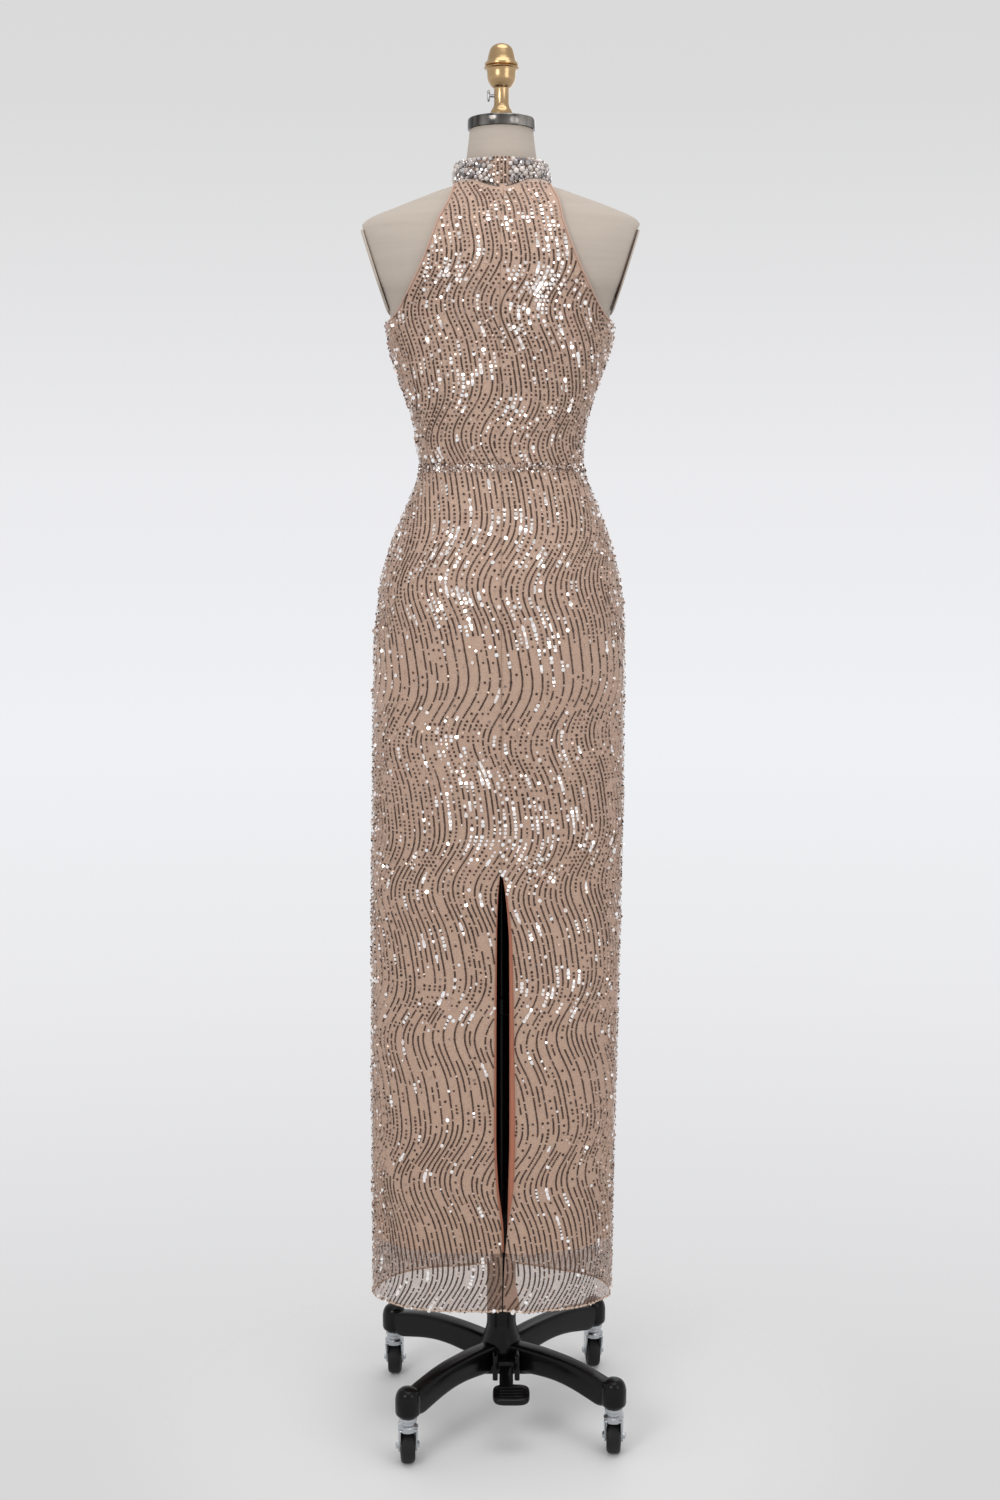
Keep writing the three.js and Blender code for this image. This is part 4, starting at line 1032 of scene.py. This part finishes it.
def sphere_form(around, down):
    """A ball one unit across, as triangles."""
    points = [(0, 0, 0.5)]
    for i in range(1, down):
        polar = np.pi * i / down
        for j in range(around):
            a = FULL * j / around
            x, y = np.sin(polar) * np.cos(a), np.sin(polar) * np.sin(a)
            points.append((0.5 * x, 0.5 * y, 0.5 * np.cos(polar)))
    points.append((0, 0, -0.5))
    faces = []
    for j in range(around):
        k = (j + 1) % around
        faces.append((0, 1 + j, 1 + k))
        last = 1 + (down - 2) * around
        faces.append((len(points) - 1, last + k, last + j))
        for i in range(down - 2):
            a, b = 1 + i * around, 1 + (i + 1) * around
            faces.append((a + j, b + j, b + k))
            faces.append((a + j, b + k, a + k))
    return np.array(points), np.array(faces)


def crystal_form():
    """A cut stone: an eight-sided girdle, a crown of slanted facets and a flat table."""
    points = []
    for radius, z, twist in ((0.5, 0.0, 0.0), (0.44, 0.16, 0.5), (0.27, 0.30, 0.0)):
        for j in range(8):
            a = FULL * (j + twist) / 8
            points.append((radius * np.cos(a), radius * np.sin(a), z))
    points.append((0, 0, 0.30))
    faces = []
    for j in range(8):
        k = (j + 1) % 8
        faces += [(j, k, 8 + j), (8 + j, k, 8 + k)]
        faces += [(8 + j, 8 + k, 16 + k), (8 + j, 16 + k, 16 + j), (16 + j, 16 + k, 24)]
    return np.array(points), np.array(faces)


def collar_base(turn):
    return neckline(turn, COLLAR_BASE_RADIUS + COLLAR_WALL) + COLLAR_LIFT


def collar_point(turn, share, out):
    """A point of the band, share down from its top edge and out from its inner face."""
    radius = COLLAR_TOP_RADIUS + (COLLAR_BASE_RADIUS - COLLAR_TOP_RADIUS) * share + out
    z = COLLAR_TOP_Z + (collar_base(turn) - COLLAR_TOP_Z) * share
    return np.stack([radius * np.sin(turn), -radius * np.cos(turn), z], axis=-1)


def axes_round(turn, rise):
    """Axes of things set on the collar: along it, up it and out of it."""
    out = unit(np.stack([np.sin(turn), -np.cos(turn), np.full(len(turn), rise)], axis=1))
    side = unit(np.cross(np.array([0.0, 0, 1]), out))
    return np.stack([side, np.cross(out, side), out], axis=1)


def collar_band():
    """The band of net itself, with its narrow gap at the centre back."""
    gap = COLLAR_GAP_HALF / COLLAR_BASE_RADIUS
    turn, share = np.meshgrid(np.linspace(gap, FULL - gap, 181), np.linspace(0, 1, 14))
    points = collar_point(turn, share, 1.5)
    made = shown("collar_band", points, grid_faces(14, 181), NET, *BAND, smooth=0)
    made.data.shade_smooth()
    thickened(made, 1.2)
    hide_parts("collar")
    return made


def collar_beads():
    """Beads in six crowded rows, large ones in the middle and small ones filling between them."""
    spots = [
        ((k + 0.5 * (row % 2)) / (50 + row % 2), (row + 0.5) / 6, 0)
        for row in range(6)
        for k in range(50 + row % 2)
    ]
    spots += [
        ((k + 0.25 + 0.5 * (row % 2)) / 52, row / 6, 1) for row in range(7) for k in range(52)
    ]
    spots = np.array(spots)
    turn = FULL * spots[:, 0] + chance.normal(0, 0.012, len(spots))
    share = np.clip(spots[:, 1] + chance.normal(0, 0.025, len(spots)), 0.02, 0.985)
    x = np.abs(COLLAR_BASE_RADIUS * np.sin(turn))
    keep = ~((np.cos(turn) > 0) & (x < BEADLESS_HALF))
    turn, share, small = turn[keep], share[keep], spots[keep, 2] == 1
    count = len(turn)
    size = np.where(small, chance.uniform(2.2, 3.6, count), chance.uniform(4.2, 8.2, count))
    size = np.minimum(size, np.minimum(share, 1 - share) * 44 + 2.4)
    pearls = chance.uniform(0, 1, count) < np.where(small, 0.25, 0.42)
    axes = axes_round(turn, 0.06)
    axes = turned_about(axes, 0, np.radians(chance.normal(0, 13, count)))
    axes = turned_about(axes, 1, np.radians(chance.normal(0, 13, count)))
    axes = turned_about(axes, 2, chance.uniform(0, FULL, count))

    places = collar_point(turn, share, 1.6 + size * 0.42)[pearls]
    sizes = np.repeat(size[pearls][:, None], 3, axis=1)
    strung = copies(sphere_form(10, 7), places, axes[pearls], sizes)
    made = [shown("collar_pearls", *strung, PEARL, *BAND, smooth=60)]

    places = collar_point(turn, share, 1.9 + size * 0.22)[~pearls]
    sizes = np.repeat(size[~pearls][:, None], 3, axis=1)
    sizes[:, 0] *= chance.uniform(1.0, 1.35, len(sizes))
    sizes[:, 2] *= 1.5
    strung = copies(crystal_form(), places, axes[~pearls], sizes)
    made.append(shown("collar_crystals", *strung, CRYSTAL, *BAND, smooth=0))
    return made


def collar_trim():
    """The facing behind the gap, and the small sequins that run over it and over the neck seam."""
    turn, share = np.meshgrid(np.linspace(-0.07, 0.07, 7), np.linspace(0.01, 0.99, 12))
    facing = collar_point(turn, share, 0.1)
    made = [shown("collar_facing", facing, grid_faces(12, 7), NET, *BAND)]
    columns, steps = np.meshgrid(np.arange(-2, 3) * 0.084, np.linspace(0.03, 0.97, 13))
    turn = columns.ravel() + chance.normal(0, 0.004, columns.size)
    share = np.clip(steps.ravel() + chance.normal(0, 0.008, columns.size), 0.02, 0.98)
    rows = collar_point(turn, share, 2.1 + chance.uniform(0, 0.4, columns.size))
    round_neck = chance.uniform(0, FULL, 620)
    radius = COLLAR_BASE_RADIUS + COLLAR_WALL + 0.9
    z = collar_base(round_neck) + chance.uniform(-1.6, 0.8, len(round_neck))
    neck = np.stack([radius * np.sin(round_neck), -radius * np.cos(round_neck), z], axis=1)
    for name, angle, places, shares, tilt in (
        ("collar_rows", turn, rows, (0.62, 0.93), 8),
        ("collar_edge_sequins", round_neck, neck, (0.25, 0.7), 26),
    ):
        made.append(loose_sequins(name, places, axes_round(angle, 0.2), BAND, shares, tilt))
    return made


# ---------------------------------------------------------------- dress form


def plate_slope():
    return (PLATE_HIGH[1] - PLATE_LOW[1]) / (PLATE_HIGH[0] - PLATE_LOW[0])


def plate_x(z):
    return PLATE_LOW[1] + plate_slope() * (z - PLATE_LOW[0])


def torso():
    """The linen-covered form, cut off flat at the arms, its seams drawn in as shallow grooves."""
    turn = np.linspace(0, FULL, 180, endpoint=False)[None, :]
    bands = [
        [NECK_TOP_Z],
        np.linspace(1852, 1800, 14),
        np.linspace(1796, 1700, 44),
        np.linspace(1694, 1080, 96),
        [FORM_BOTTOM_Z + 1.5, FORM_BOTTOM_Z],
    ]
    heights = np.concatenate(bands)[:, None]
    seams = [0, 38, 90, 142, 180, 218, 270, 322]
    groove = sum(np.exp(-((apart(turn, at) * 1.6) ** 2)) for at in seams)
    inset = -FORM_INSET - 0.5 * groove * smooth_step(heights, 1800, 1760)
    points = moved_out(form_surface, turn + 0 * heights, heights + 0 * turn, inset)
    limit = np.maximum(plate_x(heights), PLATE_FOOT_X)
    middle = along(FORM_SECTIONS, 1, heights)
    points[..., 0] = np.clip(points[..., 0], middle - limit, middle + limit)
    points[0, :, 2] = NECK_TOP_Z
    points[-1, :, 2] = FORM_BOTTOM_Z
    made = shown("form_torso", *rings_body(points), LINEN, "form", "linen_cover", smooth=50)
    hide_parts("torso")


def plate_ring(side, outline, scale, depth):
    """A ring of an arm plate's outline (along Y, up the plate), scaled, at a depth out of it."""
    tilt = math.atan(plate_slope())
    up = np.array([side * math.sin(tilt), 0, math.cos(tilt)])
    out = np.array([side * math.cos(tilt), 0, -math.sin(tilt)])
    start = np.array([side * PLATE_LOW[1] - PLATE_SHIFT, 0, PLATE_LOW[0]])
    middle = outline.mean(axis=0)
    y, v = (middle + (outline - middle) * scale).T
    across = y[:, None] * np.array([0.0, 1, 0])
    return start + across + (v / math.cos(tilt))[:, None] * up + out * (0.6 + depth)


def arm_plates():
    """Round-ended boards on the arm cuts, covered in linen; the right board is dark stained beech,
    a dark rim of painted shade along its edge.
    """
    z = PLATE_MIDDLE_Z - PLATE_HALF * np.cos(np.pi * np.linspace(0, 1, 26))
    share = plate_x(z) / along(FORM_SECTIONS, 2, z)
    room = np.sqrt(np.maximum(1 - share * share, 0))
    back, front = along(FORM_SECTIONS, 3, z) * room, along(FORM_SECTIONS, 4, z) * room
    up_and_down = np.concatenate([z, z[::-1]]) - PLATE_LOW[0]
    outline = np.stack([np.concatenate([-back, front[::-1]]), up_and_down], axis=1)
    flat = ((1.0, -0.5), (1.0, 0.3), (1.0, 0.7), (1.0, 1.1))
    wrapped = ((1.0, 1.0), (1.004, 1.6), (0.998, 2.4), (0.975, 2.9), (0.92, 3.1), (0.5, 3.2))
    for side, name in ((1, "arm_plate_right"), (-1, "arm_plate_left")):
        # The right board's dark beech is painted shade; the left board is linen
        for word, places, finish_of, slot in (
            ("_board", flat, BEECH_PAINTED_SHADE_RIM if side > 0 else LINEN, "plate_wood"),
            ("_cover", wrapped, LINEN, "linen_cover"),
        ):
            rings = np.array([plate_ring(side, outline, *place) for place in places])
            body = rings_body(rings[::-1, ::side])
            made = shown(name + word, *body, finish_of, "form", slot, smooth=50)
            if word == "_board":
                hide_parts(name)


def turned_piece(name, node, outline, finish_of, body, slot, sides=64, smooth=32):
    """A piece turned on a lathe, standing for a CAD node."""
    made = shown(name, *in_a_ring(outline, sides), finish_of, body, slot, smooth=smooth)
    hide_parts(node)


def curve_through(stations, steps=8):
    """An outline that passes smoothly through (radius, height) stations."""
    stations = np.array(stations, float)
    fine = np.linspace(0, len(stations) - 1, (len(stations) - 1) * steps + 1)
    slopes = np.gradient(stations, axis=0)
    k = np.minimum(fine.astype(int), len(stations) - 2)
    t = (fine - k)[:, None]
    rise = t * t * (3 - 2 * t)
    start, end = t * (1 - t) ** 2 * slopes[k], t * t * (1 - t) * slopes[k + 1]
    return (stations[k] * (1 - rise) + stations[k + 1] * rise + start - end).tolist()


def neck_top():
    """The neck cap, the brass finial and its thumb screw."""
    joint, base = FINIAL_JOINT_Z, CAP_TOP_Z
    rim = [(0.01, 0), (42.6, 0), (44.0, -0.3), (45.5, -1.0), (46.3, -2.4), (46.5, -4)]
    foot = [(46.5, 1.2), (46.1, 0.4), (0.01, 0.3)]
    cap = from_height(base, rim) + from_height(NECK_TOP_Z, foot)
    turned_piece("neck_cap_disc", "neck_cap", cap, DARK_STEEL, "form", "dark_steel", sides=96)

    cup = [(20.6, -2.7), (19.8, -6.5), (19.1, -14.5), (17.6, -19.5), (13.6, -25.6)]
    foot = [(10.6, 18.2), (11.9, 14.6), (14.4, 10.6), (15.7, 6.6), (16.2, 2.2)]
    stem = [
        *from_height(joint, [(0.01, 0), (22.6, 0), (23.9, -0.6), (24, -1.4), (22.4, -2.2)]),
        *curve_through(from_height(joint, cup)),
        *from_height(joint, [(11.6, -26.8), (10.6, -27.8), (STEM_RADIUS, -29.4)]),
        (STEM_RADIUS, base + 19.6),
        *curve_through(from_height(base, foot)),
        *from_height(base, [(16.4, 1.4), (16.4, 0.3), (0.01, 0.3)]),
    ]
    turned_piece("finial_cup", "finial_stem", stem, BRASS, "form", "brass", smooth=28)

    crown = [(5.4, -0.5), (9.6, -2.1), (13.2, -4.6), (15.6, -8.0), (17.0, -12.4)]
    sides = [(18.2, 14.5), (19.4, 9.4), (20.6, 7.0), (22.2, 5.8), (23.0, 4.4), (22.8, 2.2)]
    dome = [
        (0.01, FINIAL_TOP_Z),
        *curve_through(from_height(FINIAL_TOP_Z, crown)),
        *from_height(joint, [*sides, (21.4, 1.2), (20.4, 0.3), (0.01, 0.3)]),
    ]
    turned_piece("finial_dome", "finial_cap", dome, BRASS, "form", "brass", smooth=28)

    points, faces = in_a_ring([(0.01, 0), (2.2, 0), (2.2, -7), (0.01, -7)], 24)
    shank = points[:, [2, 1, 0]] + np.array([-STEM_RADIUS - 0.3, 0, SCREW_Z])
    ball, ball_faces = sphere_form(18, 12)
    far = np.abs(ball[:, 2:])
    wing = ball * np.array([5.2, 6.4, 17.0]) * (1 - 0.25 * far**2)
    wing[:, :1] *= 0.7 + 1.2 * far
    wing += np.array([-STEM_RADIUS - 7.5, 0, SCREW_Z])
    screw = merged([(shank, [face[::-1] for face in faces]), (wing, ball_faces)])
    made = shown(
        "thumb_screw_wing", *screw, BRIGHT_STEEL, "thumb_screw", "bright_steel", smooth=45
    )
    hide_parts("thumb_screw")


# ---------------------------------------------------------------- stand

# One cast leg from the hub out: distance, top, bottom and width
LEG_STATIONS = [
    (6, 115.8, 75, 30),
    (24, 118.6, 76.8, 29),
    (45, 120.7, 80, 28),
    (70, 122.1, 83.2, 27.5),
    (95, 122.4, 85.3, 27),
    (120, 121.8, 84.8, 27),
    (145, 119.4, 81.2, 27),
    (168, 115.4, 76, 27),
    (186, 111.4, 72.6, 27.5),
    (202, 107.2, 77, 28),
]


def leg_body(direction):
    """A leg with a softly squared section, swept along its arch."""
    reach, top, bottom, width = (
        np.array(curve_through([(station[0], station[k]) for station in LEG_STATIONS], 5))[:, 1]
        if k
        else np.array(curve_through([station[:2] for station in LEG_STATIONS], 5))[:, 0]
        for k in range(4)
    )
    across, upward = squared(np.linspace(0, FULL, 28, endpoint=False), 0.42)
    # The underside is hollowed a little narrower than the top, as a casting drafts out of its mould
    side = across * width[:, None] / 2 * (1 - 0.08 * (upward < 0))
    rise = ((top + bottom)[:, None] + upward * (top - bottom)[:, None]) / 2
    points, faces = rings_body(np.stack([reach[:, None] + 0 * side, side, rise], axis=-1))
    return rotated(points, direction, 0, 1), faces


def block(centre, size, radius):
    """A box with rounded upright and level edges."""
    half = np.array(size, float) / 2
    points, faces = sphere_form(16, 12)
    core = np.sign(np.round(points, 6)) * (half - radius)
    return core + points * 2 * radius + np.array(centre, float), faces


def caster_place(direction):
    a = math.radians(direction + BASE_TURN)
    return np.array([LEG_REACH * math.cos(a), LEG_REACH * math.sin(a), 0])


def stand_base():
    """The cast base with hub, legs, sockets, web and cheeks, and the two tubes of the post."""
    bell = [(21.6, 143), (22.6, 137), (25.4, 127.5), (29.6, 116), (32.2, 106), (33, 94)]
    hub = [(16.4, 150.4), (16.4, 230.6), (17.2, 232), (20.4, 232), (21.5, 230.8), (21.5, 146)]
    hub += [*curve_through(bell), (32.6, 86), (31.4, 80), (29.6, 78), (0.01, 78)]
    dome = [(4, 116.8), (9.4, 115.4), (13.8, 112.2), (16.6, 107), (18, 100.4)]
    socket = [(0.01, 117), *curve_through(dome)]
    socket += [(18, 82), (17, 78.5), (14, 76), (13.4, 75), (0.01, 75)]
    parts = [in_a_ring(hub, 72)]
    for direction, _ in CASTERS.values():
        parts.append(leg_body(math.radians(direction + BASE_TURN)))
        points, faces = in_a_ring(socket, 48)
        parts.append((points + caster_place(direction), faces))
    parts.append(block((2, -34, 85), (104, 8, 14), 2.2))
    for x in (-9, 23):
        parts.append(block((x, -41, 97), (8, 38, 38), 2.4))
    made = shown("stand_base", *merged(parts), ENAMEL, "base", "black_enamel", smooth=42)
    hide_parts("base")

    outer = [(13.2, 640), (19.2, 640), (20, 639), (20, 617), (19.2, 616), (16, 614), (16, 151)]
    outer += [(13.2, 151), (13.2, 640)]
    turned_piece("post_outer", "post_tube", outer, ENAMEL, "base", "black_enamel", 56)
    inner = [(0.01, 1074.7), (39, 1074.7), (40, 1074), (40, 1070.4), (39, 1069.8), (16, 1069)]
    inner += [(12.8, 1067), (12.8, 331), (12, 330), (0.01, 330)]
    turned_piece("post_inner", "post_rod", inner, ENAMEL, "rod", "black_enamel", 56)


def pedal():
    """The foot pedal: a barrel on its pivot, a short lever and a rounded pad with grip ribs."""
    points, barrel_faces = in_a_ring(both_ends([(0.01, 11.7), (7.2, 11.7), (8, 10.9)]), 40)
    barrel = points[:, [2, 1, 0]] * np.array([1, 1, -1]) + np.array([7, -51, 99])
    x, y = squared(np.linspace(0, FULL, 64, endpoint=False), 0.55)
    over = ((0.01, 4.9), (0.6, 4.8), (0.92, 4.3), (0.985, 3.2), (1, 1.5))
    under = ((1, -2), (0.97, -3.8), (0.9, -4.5), (0.01, -4.6))
    rings = [
        np.stack([x * 26.5 * scale, y * 18.5 * scale, np.full(64, rise)], axis=1)
        for scale, rise in over + under
    ]
    ribs = [block((0, y, 4.8), (34, 2.6, 2.0), 0.9) for y in (-9, -3, 3, 9)]
    pad, pad_faces = merged([rings_body(rings), *ribs])
    pad = rotated(pad, math.radians(15), 1, 2) + np.array([14, -117, 85])
    lever, lever_faces = block((0, 0, 0), (20, 66, 8), 2.4)
    lever = rotated(lever, math.atan2(14, 66), 1, 2) + np.array([7, -84, 92])
    whole = merged([(barrel, barrel_faces), (pad, pad_faces), (lever, lever_faces)])
    made = shown("foot_pedal", *whole, ENAMEL, "pedal", "black_enamel", smooth=42)
    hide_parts("pedal")


def flat_plate(outline, y_from, y_to):
    """A plate from an outline in (x, z), standing between two places along Y."""
    near, far = ([(x, y, z) for x, z in outline] for y in (y_from, y_to))
    return rings_body([near, far])


def casters():
    """Fork casters: a zinc-plated head with two cheeks, a bolt with two nuts, a black wheel."""
    axle = np.array([TRAIL, 0, AXLE_Z])
    stem = [(0.01, 74.7), (12.4, 74.7), (13, 74), (13, 69.6), (12.2, 68.4), (10, 67), (10, 64)]
    stem += [(12.6, 62.6), (14.5, 60.6), (14.2, 57.5), (13, 54), (0.01, 54)]
    cheek = [(-13, 57), (-9, 47), (4, 24), (7, 18.6), (11, 16.6), (16.6, 16.6), (20.4, 19)]
    cheek += [(22, 22.6), (20.6, 44), (20, 57)]
    head = [in_a_ring(stem, 40)]
    head += [flat_plate(cheek[::side], side * 13.2, side * 11.0) for side in (-1, 1)]
    head.append(block((4, 0, 56.6), (31, 26.4, 3), 1.1))
    points, faces = in_a_ring(both_ends([(0.01, 16.9), (2.6, 16.9), (3, 16.4)]), 24)
    head.append((points[:, [0, 2, 1]] * np.array([1, 1, -1]) + axle, faces))
    nut = [(0.01, 1.6), (4.6, 1.6), (5.4, 0.9), (5.4, -1.5), (0.01, -1.5)]
    for side in (-1, 1):
        points, faces = in_a_ring(nut, 6)
        points = points[:, [0, 2, 1]] * np.array([1, side, 1]) + np.array([0, side * 14.8, 0])
        head.append((points + axle, [face[::side * -1] for face in faces]))
    tyre = [(3.5, 9), (8.5, 9.2), (9.4, 7.9), (16.4, 7.4), (17.6, 7.9), (18.6, 9.4)]
    tyre += [(21.0, 9.9), (23.4, 8.9), (24.6, 6.8), (WHEEL_RADIUS, 4)]
    points, faces = in_a_ring(both_ends(tyre) + tyre[:1], 56)
    wheel = (points[:, [0, 2, 1]] * np.array([1, 1, -1]) + axle + np.array([0, 0, 0.2]), faces)
    for name, (direction, trail) in CASTERS.items():
        for word, node, (points, faces), finish_of, body, slot, smooth in (
            ("fork", "head", merged(head), BRIGHT_STEEL, "caster_", "bright_steel", 38),
            ("tyre", "wheel", wheel, RUBBER, "wheel_", "wheel_black", 50),
        ):
            points = rotated(points, math.radians(trail), 0, 1) + caster_place(direction)
            made = shown(
                f"caster_{word}_{name}", points, faces, finish_of, body + name, slot, smooth=smooth
            )
            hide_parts(f"caster_{node}_{name}")


# ---------------------------------------------------------------- studio


# The surround's colour by the height of the line of sight, from straight down to straight up
SURROUND = [
    (-1.00, "#cfcfcf"),
    (-0.60, "#d4d4d4"),
    (-0.45, "#d8d8d8"),
    (-0.34, "#e2e2e4"),
    (-0.25, "#eaeaec"),
    (-0.12, "#f0f1f4"),
    (0.02, "#ebebee"),
    (0.20, "#dbdbdb"),
    (0.50, "#d2d2d3"),
    (1.00, "#d8d8d8"),
]
LAMPS = [
    ("key", (-1.7, -2.9, 2.6), 1.3, 30),
    ("fill", (2.1, -2.2, 1.9), 1.5, 12),
    ("top", (0.2, -0.4, 3.6), 2.0, 22),
    ("back", (0.6, 2.8, 2.4), 1.6, 7),
]


def studio():
    """A pale surround, a pale floor that fades into it, soft lights and the camera."""
    world = bpy.data.worlds.new("studio")
    bpy.context.scene.world = world
    world.use_nodes = True
    tree = world.node_tree
    tree.nodes.clear()
    sight = add(tree, "TexCoord").outputs["Generated"]
    height = add(tree, "SeparateXYZ", {"Vector": sight}).outputs["Z"]
    colour = SURROUND[0][1]
    for (low, _), (high, above) in zip(SURROUND, SURROUND[1:]):
        share = add(tree, "MapRange", {"Value": height, "From Min": low, "From Max": high})
        colour = add(tree, "Mix", {0: share, 6: colour, 7: above}, data_type="RGBA")
    glow = add(tree, "Background", {"Color": colour, "Strength": 1.0})
    add(tree, "OutputWorld", {"Surface": glow})

    floor_finish, tree, place = started("painted studio floor")
    away = add(tree, "VectorMath", {0: place}, operation="LENGTH")
    cloud = add(tree, "TexNoise", {"Vector": place, "Scale": 1.3, "Detail": 2.0})
    tone = add(tree, "Mix", {0: cloud, 6: "#e6e6e6", 7: "#ebebeb"}, data_type="RGBA")
    fade = {"From Min": 0.2, "From Max": 0.66, "To Min": 1.0, "To Max": 0.0}
    cover = add(tree, "MapRange", {"Value": away, **fade}, interpolation_type="SMOOTHSTEP")
    matt = {"Roughness": 0.8, "IOR": 1.4, "Specular IOR Level": 0.2}
    finished(floor_finish, {"Base Color": tone, "Alpha": cover, **matt})
    points, faces = in_a_ring([(0.01, 0), (2200, 0)], 96)
    mesh = bpy.data.meshes.new("studio_floor")
    mesh.from_pydata((points * MM).tolist(), [], faces)
    mesh.materials.append(floor_finish)
    floor = bpy.data.objects.new("studio_floor", mesh)
    bpy.context.scene.collection.objects.link(floor)

    for name, place, size, power in LAMPS:
        lamp = bpy.data.lights.new(name, "AREA")
        lamp.shape = "DISK"
        lamp.size = size
        lamp.energy = power
        made = bpy.data.objects.new(name, lamp)
        made.location = place
        aim = Vector((0, 0, 1.05)) - Vector(place)
        made.rotation_euler = aim.to_track_quat("-Z", "Y").to_euler()
        bpy.context.scene.collection.objects.link(made)

    # The plain view, in which a hex colour under even light comes out as itself
    bpy.context.scene.view_settings.view_transform = "Standard"

    camera = bpy.data.cameras.new("camera")
    camera.lens = CAMERA_LENS
    camera.sensor_width = 36
    eye = bpy.data.objects.new("camera", camera)
    eye.location = [v * MM for v in CAMERA_PLACE]
    eye.rotation_euler = (math.radians(90 - CAMERA_PITCH), 0, 0)
    bpy.context.scene.collection.objects.link(eye)
    bpy.context.scene.camera = eye


# ---------------------------------------------------------------- the whole

panels = gown_panels()
sequins = {job[1]: sequins_on(*job) for job in ROWS}
bindings = armhole_bindings()
hems = rolled_hems()
turnings = slit_turnings()
waists = waist_seam()
crowds = waist_sequins()
centres = centre_seams()
band = collar_band()
beads = collar_beads() + collar_trim()
torso()
arm_plates()
neck_top()
stand_base()
pedal()
casters()
studio()
